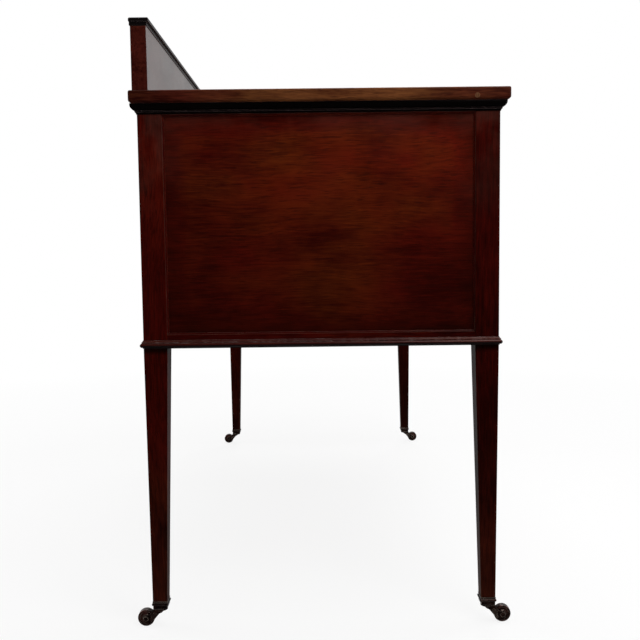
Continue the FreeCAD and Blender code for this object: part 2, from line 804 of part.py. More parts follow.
def make_cup(name, side, depth_side):
    """The square brass cup on the toe of a leg, with a ring, a lip and a bore for the pintle."""
    body = new_body(name)

    def block_of(word, foot, height, half):
        outline = draw(new_sketch(body, f"{word}_outline", "XY_Plane", foot), centred(half))
        return pad(body, word, outline, height)

    base = block_of("base", "cup_foot", "cup_base_height", "foot_square / 2 - cup_base_rebate")
    foot = number("cup_foot")
    soften(body, "base_round", base, "cup_base_round", lambda edge: level(edge, foot))
    ring = block_of("ring", "ring_foot", "cup_ring_height", "foot_square / 2 + cup_ring_out")
    wide = number("foot_square / 2 + cup_ring_out")

    def ring_edge(edge):
        box = edge.BoundBox
        reach = max(abs(box.XMax), abs(box.XMin), abs(box.YMax), abs(box.YMin))
        return same(reach, wide)

    soften(body, "ring_round", ring, "cup_ring_round", ring_edge)
    block_of("hollow", "ring_head", "cup_hollow_height", "foot_square / 2 + cup_hollow_out")
    block_of("lip", "lip_foot", "cup_lip_height", "foot_square / 2 + cup_lip_out")
    socket = draw(new_sketch(body, "socket", "XY_Plane", "cup_head"), centred("toe_square / 2"))
    pocket(body, "socket_cut", socket, "cup_head - toe_foot")
    bore = new_sketch(body, "bore", "XY_Plane", "cup_foot")
    ring_radius = number("pintle_radius + pintle_play")
    bore.addGeometry(Part.Circle(FreeCAD.Vector(), FreeCAD.Vector(0, 0, 1), ring_radius), False)
    bore.addConstraint([Sketcher.Constraint("Coincident", 0, 3, -1, 1),
                        Sketcher.Constraint("Radius", 0, ring_radius)])
    bore.setExpression("Constraints[1]", full("pintle_radius + pintle_play"))
    pocket(body, "bore_cut", bore, "bore_head - cup_foot", reverse=True)
    put(body, f"{side} * foot_place", f"{depth_side} * foot_place_depth", "0")
    return node(name, body)


HORN_OUTLINE = [
    ("-heel_back", "shoulder_level"),
    ("-heel_back", "plate_foot"),
    ("-heel_front", "heel_level"),
    ("arm_head_trail", "arm_head_level"),
    ("arm_foot_trail", "arm_foot_level", "arm_foot_radius", "left"),
    ("arm_end", "wheel_radius", "arm_end_radius", "left"),
    ("castor_trail", "arm_top", "arm_hollow_radius", "right"),
    ("plate_front", "shoulder_level"),
]

SLOT_OUTLINE = [
    ("castor_trail - slot_radius", "wheel_radius", "slot_radius", "right"),
    ("castor_trail", "wheel_radius + slot_radius"),
    ("castor_trail + overrun", "wheel_radius + slot_radius"),
    ("castor_trail + overrun", "-overrun"),
    ("-overrun", "-overrun"),
    ("-overrun", "wheel_radius"),
]


def make_horn(name, side, depth_side):
    """The horn that swivels under a cup: a round plate, a pintle and two arms that hold the axle."""
    body = new_body(f"{name}_casting")
    outline = draw(new_sketch(body, "outline", "YZ_Plane"), HORN_OUTLINE)
    pad(body, "casting", outline, "fork_width", middle=True)
    slot = draw(new_sketch(body, "slot", "YZ_Plane", "fork_gap / 2"), SLOT_OUTLINE)
    slotted = pocket(body, "slot_cut", slot, "fork_gap")
    half = number("fork_width / 2")

    def arm_edge(edge):
        box = edge.BoundBox
        outer = same(box.XLength, 0) and same(abs(box.XMax), half)
        return outer and not level(edge, number("shoulder_level")) and box.YMin > 0

    soften(body, "arris", slotted, "cheek_arris", arm_edge)
    along_x = FreeCAD.Vector(1, 0, 0)
    upwards = FreeCAD.Vector(0, 0, 1)
    boss = rod(f"{name}_boss", "boss_radius",
               ("-fork_width / 2 - boss_proud", "castor_trail", "wheel_radius"),
               "fork_width + 2 * boss_proud", along_x)
    gap = rod(f"{name}_boss_gap", "boss_radius + overrun", ("-fork_gap / 2", "castor_trail", "wheel_radius"),
              "fork_gap", along_x)
    axle = rod(f"{name}_axle", "axle_radius", ("-fork_width / 2", "castor_trail", "wheel_radius"),
               "fork_width", along_x)
    plate = rod(f"{name}_plate", "plate_radius", ("0", "0", "plate_foot"), "plate_thickness", upwards)
    pintle = rod(f"{name}_pintle", "pintle_radius", ("0", "0", "plate_foot"),
                 "plate_thickness + pintle_height", upwards)
    bosses = cut(f"{name}_bosses", boss, gap)
    horn = fuse(name, body, plate, bosses, axle, pintle)
    if depth_side < 0:
        horn.Placement = FreeCAD.Placement(FreeCAD.Vector(), FreeCAD.Rotation(upwards, 180))
    put(horn, f"{side} * foot_place", f"{depth_side} * foot_place_depth", "0")
    return node(name, horn)


WHEEL_SECTION = [
    ("axle_radius + axle_play", "-wheel_width / 2"),
    ("wheel_hub_radius", "-wheel_width / 2"),
    ("wheel_hub_radius + wheel_dish", "-wheel_width / 2 + wheel_dish"),
    ("wheel_radius - wheel_rim - wheel_dish", "-wheel_width / 2 + wheel_dish"),
    ("wheel_radius - wheel_rim", "-wheel_width / 2"),
    ("wheel_radius - wheel_edge_radius", "-wheel_width / 2", "wheel_edge_radius", "left"),
    ("wheel_radius", "-wheel_width / 2 + wheel_edge_radius"),
    ("wheel_radius", "wheel_width / 2 - wheel_edge_radius", "wheel_edge_radius", "left"),
    ("wheel_radius - wheel_edge_radius", "wheel_width / 2"),
    ("wheel_radius - wheel_rim", "wheel_width / 2"),
    ("wheel_radius - wheel_rim - wheel_dish", "wheel_width / 2 - wheel_dish"),
    ("wheel_hub_radius + wheel_dish", "wheel_width / 2 - wheel_dish"),
    ("wheel_hub_radius", "wheel_width / 2"),
    ("axle_radius + axle_play", "wheel_width / 2"),
]


def make_wheel(name, side, depth_side):
    """A small brass wheel with dished sides, rounded edges and a bore for its axle."""
    body = new_body(name)
    section = draw(new_sketch(body, "section", "XZ_Plane"), WHEEL_SECTION)
    turned = body.newObject("PartDesign::Revolution", f"{name}_turned")
    turned.Profile = section
    turned.ReferenceAxis = (section, ["V_Axis"])
    body.Placement = FreeCAD.Placement(FreeCAD.Vector(), FreeCAD.Rotation(FreeCAD.Vector(0, 1, 0), 90))
    put(body, f"{side} * foot_place", f"{depth_side} * (foot_place_depth + castor_trail)", "wheel_radius")
    return node(name, body)


# Drawers

def tails(foot, head, count, root, tip):
    """The corners of a row of dovetails going up an edge, from its root line out to their tips."""
    pitch = f"(({head}) - ({foot})) / {count}"
    corners = []
    for index in range(count):
        middle = f"{foot} + {pitch} * {index + 0.5}"
        for line, share in ((root, -DOVETAIL_ROOT_SHARE), (tip, -DOVETAIL_TIP_SHARE),
                            (tip, DOVETAIL_TIP_SHARE), (root, DOVETAIL_ROOT_SHARE)):
            corners.append((line, f"{middle} + {pitch} * ({share})"))
    return corners


def make_drawer_side(name, side, width, height, tail_count):
    """A drawer side with lapped tails at the front and through tails at the back."""
    body = new_body(name)
    head = f"{height} - drawer_gap - side_drop"
    front_root = "drawer_front"
    back_root = "drawer_depth - drawer_back"
    front_tails = tails("drawer_float", head, tail_count, front_root, "drawer_front - tail_length")
    back_tails = tails("bottom_head", head, tail_count, back_root, "drawer_depth")
    corners = [(front_root, "drawer_float")] + front_tails + [(front_root, head), (back_root, head)]
    corners += back_tails[::-1]
    corners += [(back_root, "bottom_head"), ("drawer_depth", "bottom_head")]
    corners.append(("drawer_depth", "drawer_float"))
    inner, outer = signed(side, f"{width} / 2 - drawer_gap - drawer_side", f"{width} / 2 - drawer_gap")
    outline = draw(new_sketch(body, "outline", "YZ_Plane", inner), corners)
    pad(body, "board", outline, "drawer_side")
    return body


def make_front_board(name, width, height):
    """A drawer front with a cock bead round its face."""
    body = new_body(name)
    half = f"{width} / 2 - drawer_gap"
    outer = rectangle(f"-({half})", half, "drawer_gap", f"{height} - drawer_gap")
    board = draw(new_sketch(body, "outline", "XZ_Plane"), outer)
    pad(body, "board", board, "drawer_front", reverse=True)
    face = draw(new_sketch(body, "bead_outline", "XZ_Plane"), outer)
    bead = pad(body, "bead", face, "cock_bead_proud")
    inner = rectangle(f"-({half} - cock_bead_width)", f"{half} - cock_bead_width",
                      "drawer_gap + cock_bead_width", f"{height} - drawer_gap - cock_bead_width")
    field = draw(new_sketch(body, "field", "XZ_Plane", "cock_bead_proud"), inner)
    cleared = pocket(body, "field_cut", field, "cock_bead_proud")
    proud = number("cock_bead_proud")
    soften(body, "bead_round", cleared, "cock_bead_radius", lambda edge: same(edge.BoundBox.YMax, -proud))
    return body


def keyhole_tool(name, height, radius, slot):
    """What a keyhole takes out of a drawer front: a round hole with a slot under it."""
    middle = f"{height} - keyhole_drop"
    end = "drawer_front + lock_thickness - lock_back"
    hole = rod(f"{name}_hole", radius, ("0", "-overrun", middle), f"overrun + {end}",
               FreeCAD.Vector(0, 1, 0))
    slit = block(f"{name}_slit", (f"-({slot}) / 2", f"{slot} / 2"), ("-overrun", end),
                 (f"{middle} - keyhole_length", middle))
    return fuse(name, hole, slit)


POST_SECTION = [
    ("0", "-post_reach - post_ball_radius", "post_ball_radius", "left"),
    ("post_ball_radius", "-post_reach", "post_ball_radius", "left"),
    ("post_stem_radius", "-post_reach + post_seat"),
    ("post_stem_radius", "-rose_thickness"),
    ("rose_radius / 2", "-rose_thickness"),
    ("rose_radius", "-rose_rim"),
    ("rose_radius", "0"),
    ("shank_radius", "0"),
    ("shank_radius", "drawer_front + nut_thickness + shank_end"),
    ("0", "drawer_front + nut_thickness + shank_end"),
]


def make_post(name, place, height):
    """A turned post with its rose, its threaded end through the drawer front, and its nut."""
    body = new_body(f"{name}_turning")
    section = draw(new_sketch(body, "section", "XY_Plane"), POST_SECTION)
    turned = body.newObject("PartDesign::Revolution", f"{name}_turned")
    turned.Profile = section
    turned.ReferenceAxis = (section, ["V_Axis"])
    lift = f"{height} / 2 + handle_lift"
    put(body, place, "0", lift)
    bore = rod(f"{name}_bore", "bail_radius + bail_play", (f"{place} - overrun", "-post_reach", lift),
               "2 * overrun", FreeCAD.Vector(1, 0, 0))
    post = cut(f"{name}_bored", body, bore)
    nut = doc.addObject("Part::Prism", f"{name}_nut_blank")
    nut.Polygon = 6
    nut.setExpression("Circumradius", full("nut_radius"))
    nut.setExpression("Height", full("nut_thickness"))
    nut.Placement = FreeCAD.Placement(FreeCAD.Vector(), FreeCAD.Rotation(FreeCAD.Vector(1, 0, 0), -90))
    put(nut, place, "drawer_front", lift)
    hole = rod(f"{name}_nut_hole", "shank_radius", (place, "drawer_front - overrun", lift), "2 * overrun",
               FreeCAD.Vector(0, 1, 0))
    return post, cut(f"{name}_nut", nut, hole)


BAIL_ROUTE = [
    ("post_half - bail_pin", "0"),
    ("bail_half - bail_shoulder_radius", "0", "bail_shoulder_radius", "right"),
    ("bail_half", "-bail_shoulder_radius"),
    ("bail_half", "-bail_drop + bail_corner_radius", "bail_corner_radius", "right"),
    ("bail_half - bail_corner_radius", "-bail_drop"),
    ("-bail_half + bail_corner_radius", "-bail_drop", "bail_corner_radius", "right"),
    ("-bail_half", "-bail_drop + bail_corner_radius"),
    ("-bail_half", "-bail_shoulder_radius", "bail_shoulder_radius", "right"),
    ("-bail_half + bail_shoulder_radius", "0"),
    ("-post_half + bail_pin", "0"),
]


def make_bail(name, place, foot, height):
    """A hanging handle of round bar whose ends turn in to their posts."""
    body = new_body(name)
    spine = draw(new_sketch(body, "spine", "XZ_Plane"), BAIL_ROUTE, closed=False)
    section = new_sketch(body, "section", "YZ_Plane", "post_half - bail_pin")
    section.addGeometry(Part.Circle(FreeCAD.Vector(), FreeCAD.Vector(0, 0, 1), number("bail_radius")), False)
    section.addConstraint([Sketcher.Constraint("Coincident", 0, 3, -1, 1),
                           Sketcher.Constraint("Radius", 0, number("bail_radius"))])
    section.setExpression("Constraints[1]", full("bail_radius"))
    sweep(body, "bar", section, spine)
    put(body, place, "-half_depth - post_reach", f"{foot} + {height} / 2 + handle_lift")
    return node(name, body)


def make_drawer(word, middle, width, foot, height, tail_count, handle_places):
    """A drawer: dovetailed boards, a grooved-in bottom, brass fittings and hanging handles."""
    name = f"{word}_drawer"
    bottom = block(f"{name}_board", (f"-({width} / 2 - drawer_gap - drawer_side + bottom_groove)",
                                     f"{width} / 2 - drawer_gap - drawer_side + bottom_groove"),
                   ("drawer_front - bottom_groove", "drawer_depth"), ("bottom_foot", "bottom_head"))
    sides = []
    for hand, side in (("left", -1), ("right", 1)):
        board = make_drawer_side(f"{name}_side_{hand}", side, width, height, tail_count)
        sides.append(cut(f"{name}_grooved_{hand}", board, bottom))
    back = block(f"{name}_back_board", (f"-({width} / 2 - drawer_gap)", f"{width} / 2 - drawer_gap"),
                 ("drawer_depth - drawer_back", "drawer_depth"),
                 ("bottom_head", f"{height} - drawer_gap - side_drop"))
    back = cut(f"{name}_back", back, *sides)
    fittings = []
    holes = []
    for index, place in enumerate(handle_places):
        for hand, offset in (("left", "-post_half"), ("right", "+post_half")):
            spot = f"{place} {offset}"
            fittings.extend(make_post(f"{name}_post_{index}_{hand}", spot, height))
            holes.append(rod(f"{name}_post_hole_{index}_{hand}", "shank_radius + shank_play",
                             (spot, "-overrun", f"{height} / 2 + handle_lift"), "2 * overrun + drawer_front",
                             FreeCAD.Vector(0, 1, 0)))
    keyhole = keyhole_tool(f"{name}_keyhole", height, "keyhole_radius", "keyhole_slot")
    front = make_front_board(f"{name}_face", width, height)
    front = cut(f"{name}_jointed_front", front, *sides, bottom, keyhole, *holes)
    keyplate = rod(f"{name}_keyplate_blank", "keyplate_radius",
                   ("0", "-keyplate_thickness", f"{height} - keyhole_drop - keyhole_length / 2"),
                   "keyplate_thickness", FreeCAD.Vector(0, 1, 0))
    case = block(f"{name}_lock_case", ("-lock_width / 2", "lock_width / 2"),
                 ("drawer_front", "drawer_front + lock_thickness"),
                 (f"{height} - drawer_gap - lock_height", f"{height} - drawer_gap"))
    pin = rod(f"{name}_key_pin", "key_pin_radius", ("0", "keyhole_radius", f"{height} - keyhole_drop"),
              "drawer_front + lock_thickness - keyhole_radius", FreeCAD.Vector(0, 1, 0))
    lock = fuse(f"{name}_lock", cut(f"{name}_lock_body", case, keyhole), pin)
    fittings.extend([cut(f"{name}_keyplate", keyplate, keyhole), lock])
    parts = ((f"{name}_front", front), (f"{name}_box", group(f"{name}_box", *sides, back)),
             (f"{name}_bottom", group(f"{name}_bottom", bottom)),
             (f"{name}_fittings", group(f"{name}_fittings", *fittings)))
    for node_name, item in parts:
        node(node_name, put(item, middle, "-half_depth", foot))
    for index, place in enumerate(handle_places):
        hand = ("_left", "_right")[index] if len(handle_places) > 1 else ""
        make_bail(f"{name}_bail{hand}", f"{middle} + {place}", foot, height)


def make_drawers():
    """Five drawers: one over the kneehole and two in each pedestal."""
    for word, middle, width, foot in opening_list():
        low = word.endswith("low")
        height = "low_height" if low else "frieze_height"
        handles = ("-centre_handle_place", "centre_handle_place") if word == "centre" else ("0",)
        make_drawer(word, middle, width, foot, height, 5 if low else 3, handles)


def build():
    """Builds every sub-part in the order in which the table is put together."""
    driving = (TABLE_SIZES + LEG_SIZES + FRAME_SIZES + RUNNER_SIZES + MOULDING_SIZES + GALLERY_SIZES
               + LEATHER_SIZES + DRAWER_SIZES + HANDLE_SIZES + LOCK_SIZES + CASTOR_SIZES)
    fill(sizes, driving)
    for alias, formula in DERIVED:
        sheet_of[alias] = places.Name
    fill(places, [(alias, "=" + full(formula)) for alias, formula in DERIVED])
    doc.recompute()
    for word, side, depth_side in CASTORS:
        make_leg(f"leg_{word}", side, depth_side)
    for word, side in (("left", -1), ("right", 1)):
        make_end(word, side)
    make_back()
    make_beads()
    for word, side in (("left", -1), ("right", 1)):
        make_kneehole_side(word, side)
    make_front_rails()
    make_pedestal_floors()
    make_runners()
    make_top()
    make_mouldings()
    make_gallery()
    for word, side, depth_side in CASTORS:
        make_cup(f"castor_cup_{word}", side, depth_side)
        make_horn(f"castor_horn_{word}", side, depth_side)
        make_wheel(f"castor_wheel_{word}", side, depth_side)
    make_drawers()
    doc.recompute()


def check():
    """Stops where an object failed, or where a sub-part has no sound shape."""
    failed = [item.Name for item in doc.Objects if "Invalid" in item.State or "Error" in item.State]
    if failed:
        raise RuntimeError(f"failed: {failed}")
    for name, item in nodes.items():
        if item.Shape.isNull() or not item.Shape.isValid() or not item.Shape.Solids:
            raise RuntimeError(f"{name} has no sound solid")


def write():
    """Writes one file for each sub-part."""
    os.makedirs("parts", exist_ok=True)
    for name, item in nodes.items():
        item.Shape.exportStep(f"parts/{name}.step")
        print(f"{name}: {len(item.Shape.Solids)} solid(s), {item.Shape.Volume / 1000:.1f} cubic centimetres")


build()
check()
write()
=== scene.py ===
"""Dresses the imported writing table: its finishes, its small trim, and a plain studio round it."""
import logging
import math
from dataclasses import dataclass, field, replace
from enum import Enum
from functools import cached_property, reduce

import bmesh
import bpy
from mathutils import Matrix, Vector


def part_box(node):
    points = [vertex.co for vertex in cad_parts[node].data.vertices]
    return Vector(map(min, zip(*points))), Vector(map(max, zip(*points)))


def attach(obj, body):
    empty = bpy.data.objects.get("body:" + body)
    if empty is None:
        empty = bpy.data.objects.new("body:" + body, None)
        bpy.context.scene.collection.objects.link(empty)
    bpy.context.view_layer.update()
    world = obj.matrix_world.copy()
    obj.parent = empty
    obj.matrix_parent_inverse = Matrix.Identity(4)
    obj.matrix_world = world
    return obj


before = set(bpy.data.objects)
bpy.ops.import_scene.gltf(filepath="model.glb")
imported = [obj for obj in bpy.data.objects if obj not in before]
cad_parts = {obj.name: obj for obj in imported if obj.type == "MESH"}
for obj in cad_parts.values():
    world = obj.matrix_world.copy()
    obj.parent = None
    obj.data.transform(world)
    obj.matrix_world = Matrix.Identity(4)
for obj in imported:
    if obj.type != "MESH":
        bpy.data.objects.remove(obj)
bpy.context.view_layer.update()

LOG = logging.getLogger("writing_table")

Triple = tuple[float, float, float]
Colour = Triple
Range = tuple[float, float]
Socket = bpy.types.NodeSocket
Node = bpy.types.Node
NodeTree = bpy.types.NodeTree
Material = bpy.types.Material
Object = bpy.types.Object

MM = 0.001
QUARTER_TURN = math.pi / 2
NOISE_MIDDLE = 0.5
WHITE: Colour = (1.0, 1.0, 1.0)
MIX_TYPES = {"Color": "RGBA", "Vector": "VECTOR"}


# Ways to write a shader

class Nodes:
    """A node tree with short ways to add nodes and to join them."""

    def __init__(self, tree: NodeTree) -> None:
        """Takes an empty tree to write in."""
        self.tree = tree

    def add(self, kind: str, inputs: dict | None = None, **settings: object) -> Node:
        """Adds a node.

        Args:
            kind: the node's type name.
            inputs: what goes into its sockets, each a socket, a number or a colour.
            settings: its own properties.

        Returns:
            The node.
        """
        node = self.tree.nodes.new(kind)
        for word, value in settings.items():
            setattr(node, word, value)
        for word, value in (inputs or {}).items():
            self.feed(node.inputs[word], value)
        return node

    def feed(self, socket: Socket, value: object) -> None:
        """Joins a socket to another one, or gives it a plain value.

        Args:
            socket: the socket that is fed.
            value: another socket, or a number, a colour or a vector.
        """
        if isinstance(value, Socket):
            self.tree.links.new(value, socket)
        elif isinstance(value, tuple) and len(value) == 3 and socket.type == "RGBA":
            socket.default_value = (*value, 1.0)
        else:
            socket.default_value = value

    def sum(self, operation: str, first: object, second: object = 0.0, third: object = 0.0,
            clamp: bool = False) -> Socket:
        """The result of a Math node."""
        inputs = {0: first, 1: second, 2: third}
        return self.add("ShaderNodeMath", inputs, operation=operation, use_clamp=clamp).outputs[0]

    def product(self, *factors: object) -> Socket:
        """Two factors or more, multiplied with each other."""
        return reduce(lambda result, factor: self.sum("MULTIPLY", result, factor), factors)

    def vector(self, operation: str, first: object, second: object = (0.0, 0.0, 0.0)) -> Socket:
        """The result of a Vector Math node that gives a vector."""
        inputs = {0: first, 1: second}
        return self.add("ShaderNodeVectorMath", inputs, operation=operation).outputs[0]

    def stretched(self, vector: object, scale: Triple) -> Socket:
        """A vector or a colour with each part of it multiplied."""
        return self.vector("MULTIPLY", vector, scale)

    def scaled(self, vector: object, factor: object) -> Socket:
        """A vector or a colour multiplied as a whole."""
        inputs = {0: vector, "Scale": factor}
        return self.add("ShaderNodeVectorMath", inputs, operation="SCALE").outputs[0]

    def parts(self, vector: object) -> bpy.types.NodeOutputs:
        """The parts of a vector, by number or by X, Y and Z."""
        return self.add("ShaderNodeSeparateXYZ", {0: vector}).outputs

    def spread(self, value: object, low: float, high: float, to_low: object = 0.0,
               to_high: object = 1.0) -> Socket:
        """A value's range mapped to another, held at its ends."""
        inputs = {"Value": value, "From Min": low, "From Max": high, "To Min": to_low,
                  "To Max": to_high}
        return self.add("ShaderNodeMapRange", inputs, clamp=True).outputs[0]

    def mix(self, kind: str, share: object, first: object, second: object) -> Socket:
        """Two values mixed.

        Args:
            kind: what they are, Color or Vector.
            share: the second one's share.
            first: what a share of 0 gives.
            second: what a share of 1 gives.

        Returns:
            The mixed value.
        """
        node = self.add("ShaderNodeMix", {0: share}, data_type=MIX_TYPES[kind])
        sockets = {socket.identifier: socket for socket in (*node.inputs, *node.outputs)}
        self.feed(sockets[f"A_{kind}"], first)
        self.feed(sockets[f"B_{kind}"], second)
        return sockets[f"Result_{kind}"]

    def blend(self, share: object, first: object, second: object) -> Socket:
        """Two colours mixed by a share."""
        return self.mix("Color", share, first, second)

    def relief(self, height: object, strength: float, distance: float) -> Socket:
        """The normal of a surface with a relief."""
        inputs = {"Strength": strength, "Distance": distance, "Height": height}
        return self.add("ShaderNodeBump", inputs).outputs[0]


def even(rate: float) -> Triple:
    """The same rate along each axis."""
    return rate, rate, rate


@dataclass(frozen=True)
class Pattern:
    """A noise, with how often it varies in a metre along each axis."""

    rates: Triple
    detail: float = 2.0
    roughness: float = 0.5
    distortion: float = 0.0

    def read(self, nodes: Nodes, vector: object) -> Socket:
        """The noise at a point.

        Args:
            nodes: the nodes to write in.
            vector: the point.

        Returns:
            The noise, which stays near its middle of a half.
        """
        inputs = {"Vector": nodes.stretched(vector, self.rates), "Scale": 1.0,
                  "Detail": self.detail, "Roughness": self.roughness, "Distortion": self.distortion}
        return nodes.add("ShaderNodeTexNoise", inputs).outputs["Fac"]


@dataclass(frozen=True)
class Patches:
    """A noise cut to patches: none below the range, full above it."""

    pattern: Pattern
    low: float
    high: float

    def read(self, nodes: Nodes, vector: object, least: float = 0.0) -> Socket:
        """The patches at a point, from a least value to 1."""
        return nodes.spread(self.pattern.read(nodes, vector), self.low, self.high, least, 1.0)


class Side(Enum):
    """Which side of a group a socket is on."""

    IN = "INPUT"
    OUT = "OUTPUT"


def new_group(name: str, inputs: dict[str, str],
              outputs: dict[str, str]) -> tuple[Nodes, dict[str, Socket], Node]:
    """Starts a shader node group with named sockets.

    Args:
        name: the group's name.
        inputs: the kind of each socket that it takes, by name.
        outputs: the kind of each socket that it gives, by name.

    Returns:
        The group's nodes, its input sockets by name, and its output node.
    """
    tree = bpy.data.node_groups.new(name, "ShaderNodeTree")
    for side, kinds in ((Side.IN, inputs), (Side.OUT, outputs)):
        for word, kind in kinds.items():
            tree.interface.new_socket(name=word, in_out=side.value, socket_type=f"NodeSocket{kind}")
    nodes = Nodes(tree)
    source = nodes.add("NodeGroupInput")
    result = nodes.add("NodeGroupOutput")
    return nodes, {socket.name: socket for socket in source.outputs if socket.name}, result


# Shared effects

@dataclass(frozen=True)
class WoodFigure:
    """The figure of mahogany or oak, its grain along the vector's last part."""

    drift: Pattern = Pattern((4.0, 4.0, 1.6))
    drift_push: float = 0.07
    waver: Pattern = Pattern((9.0, 9.0, 14.0))
    waver_push: float = 0.004
    tilt: float = 0.35
    clouds: Pattern = Pattern((19.0, 19.0, 10.0), 3.0, 0.55)
    cloud_weight: float = 1.05
    bands: Pattern = Pattern((70.0, 70.0, 5.0))
    band_weight: float = 0.45
    streaks: Pattern = Pattern((300.0, 300.0, 22.0), 2.0, 0.55)
    streak_weight: float = 0.80
    streak_relief: float = 0.25
    threads: Pattern = Pattern((640.0, 640.0, 40.0), 2.0, 0.6)
    thread_weight: float = 0.85
    zones: Pattern = Pattern((6.0, 6.0, 4.0), 4.0, 0.55)
    zone_weight: float = 1.60
    zone_dullness: float = 0.5
    curl: Pattern = Pattern((30.0, 30.0, 60.0), 2.0, 0.5, 0.4)
    tones: Range = (1.98, 2.78)
    warmth: Pattern = Pattern((6.5, 6.5, 3.5), 3.0, 0.55)
    warmth_offset: Triple = (7.0, 3.0, 5.0)
    warmth_by_depth: float = 0.60
    warmths: Range = (0.90, 1.12)
    reddened: Triple = (0.92, 0.54, 0.85)
    yellowed: Triple = (1.06, 1.52, 1.05)
    dashes: Patches = Patches(Pattern((800.0, 800.0, 42.0), 1.0), 0.57, 0.67)
    pore_dullness: float = 0.5

    def build(self) -> NodeTree:
        """Writes the group.

        Returns:
            The group, which gives the wood's colour, its relief and how dull it is.
        """
        nodes, given, result = new_group("wood_figure", {
            "Vector": "Vector", "Dark": "Color", "Light": "Color", "Pore": "Color",
            "Fineness": "Float", "Figure": "Float", "Pores": "Float", "Depth": "Float",
            "Shift": "Float"}, {"Color": "Color", "Height": "Float", "Dullness": "Float"})
        place = given["Vector"]
        push = nodes.sum("ADD", nodes.product(self.drift.read(nodes, place), self.drift_push),
                         nodes.product(self.waver.read(nodes, place), self.waver_push))
        pushed = nodes.add("ShaderNodeCombineXYZ", {0: push, 1: push}).outputs[0]
        fine = nodes.scaled(nodes.vector("ADD", place, pushed), given["Fineness"])
        tilted = nodes.add("ShaderNodeVectorRotate", {"Vector": place, "Angle": self.tilt},
                           rotation_type="X_AXIS").outputs[0]
        zones, streaks = self.zones.read(nodes, place), self.streaks.read(nodes, fine)
        tone = nodes.product(self.clouds.read(nodes, tilted), self.cloud_weight)
        for part, weight in ((self.bands.read(nodes, fine), self.band_weight),
                             (streaks, self.streak_weight),
                             (self.threads.read(nodes, fine), self.thread_weight),
                             (zones, self.zone_weight)):
            tone = nodes.sum("MULTIPLY_ADD", part, weight, tone)
        curl = nodes.sum("SUBTRACT", self.curl.read(nodes, place), NOISE_MIDDLE)
        tone = nodes.sum("ADD", tone, nodes.product(curl, given["Figure"]))
        # Depth carries the board's painted light and shade, and scales the colour.
        light = nodes.blend(given["Shift"], given["Light"], self.varied_light(nodes, given, tilted))
        colour = nodes.blend(nodes.spread(tone, *self.tones), given["Dark"], light)
        colour = nodes.scaled(colour, given["Depth"])
        pores = nodes.product(self.dashes.read(nodes, fine), given["Pores"])
        height = nodes.sum("SUBTRACT", nodes.product(streaks, self.streak_relief), pores)
        dullness = nodes.sum("ADD", nodes.product(zones, self.zone_dullness),
                             nodes.product(pores, self.pore_dullness))
        nodes.feed(result.inputs["Color"], nodes.blend(pores, colour, given["Pore"]))
        nodes.feed(result.inputs["Height"], height)
        nodes.feed(result.inputs["Dullness"], dullness)
        return nodes.tree

    def varied_light(self, nodes: Nodes, given: dict[str, Socket], place: Socket) -> Socket:
        """The light wood's colour, redder in some places and yellower in others.

        Args:
            nodes: the group's nodes.
            given: its input sockets.
            place: the point where the variation is read.

        Returns:
            The colour.
        """
        warmth = self.warmth.read(nodes, nodes.vector("ADD", place, self.warmth_offset))
        # Where the board is painted lighter, the light wood turns yellower.
        warmth = nodes.sum("MULTIPLY_ADD", given["Depth"], self.warmth_by_depth, warmth)
        return nodes.blend(nodes.spread(warmth, *self.warmths),
                           nodes.stretched(given["Light"], self.reddened),
                           nodes.stretched(given["Light"], self.yellowed))


@dataclass(frozen=True)
class EdgeLines:
    """Where an edge shows its paler colour, from 0 on the faces to 1 on the arris: rubbing, and on
    the mouldings painted highlight lines.
    """

    samples: int = 4
    turns: Range = (0.985, 0.80)
    patches: Patches = Patches(Pattern(even(60.0), 4.0, 0.65), 0.42, 0.62)

    def build(self) -> NodeTree:
        """Writes the group.

        Returns:
            The group, which gives how much the edge colour shows.
        """
        nodes, given, result = new_group("edge_colour_mask", {
            "Vector": "Vector", "Radius": "Float", "Cover": "Float", "Amount": "Float"},
            {"Rubbed": "Float"})
        rounded = nodes.add("ShaderNodeBevel", {"Radius": given["Radius"]}, samples=self.samples)
        plain = nodes.add("ShaderNodeNewGeometry").outputs["Normal"]
        turn = nodes.add("ShaderNodeVectorMath", {0: rounded.outputs[0], 1: plain},
                         operation="DOT_PRODUCT").outputs["Value"]
        patchy = nodes.sum("MAXIMUM", self.patches.read(nodes, given["Vector"]), given["Cover"])
        rubbed = nodes.product(nodes.spread(turn, *self.turns), patchy, given["Amount"])
        nodes.feed(result.inputs["Rubbed"], rubbed)
        return nodes.tree


@dataclass(frozen=True)
class SettledDust:
    """Where dust and old polish have settled: on what faces up, in patches."""

    slopes: Range = (0.55, 0.95)
    patches: Patches = Patches(Pattern(even(45.0), 5.0, 0.7), 0.35, 0.75)

    def build(self) -> NodeTree:
        """Writes the group.

        Returns:
            The group, which gives how dusty the surface is.
        """
        nodes, given, result = new_group(
            "settled_dust", {"Vector": "Vector", "Amount": "Float"}, {"Dust": "Float"})
        up = nodes.parts(nodes.add("ShaderNodeNewGeometry").outputs["Normal"])["Z"]
        dust = nodes.product(nodes.spread(up, *self.slopes),
                             self.patches.read(nodes, given["Vector"]), given["Amount"])
        nodes.feed(result.inputs["Dust"], dust)
        return nodes.tree


GROUPS = {"wood": WoodFigure().build(), "edges": EdgeLines().build(), "dust": SettledDust().build()}


def shared(nodes: Nodes, word: str, inputs: dict[str, object]) -> Node:
    """Places a shared effect in a material."""
    return nodes.add("ShaderNodeGroup", inputs, node_tree=GROUPS[word])


# Where a material reads its patterns

class Grain(Enum):
    """The way a board's grain runs."""

    LENGTHWAYS = ("Y", "Z", "X")
    FRONT_TO_BACK = ("Z", "X", "Y")
    UPRIGHT = ("X", "Y", "Z")
    ALONG_THE_RUN = ()


class Lie(Enum):
    """Which edges of a board count, by the two axes that cross them."""

    FLAT = (0, 1)
    ENDWISE = (1, 2)
    ACROSS = (1, 1)


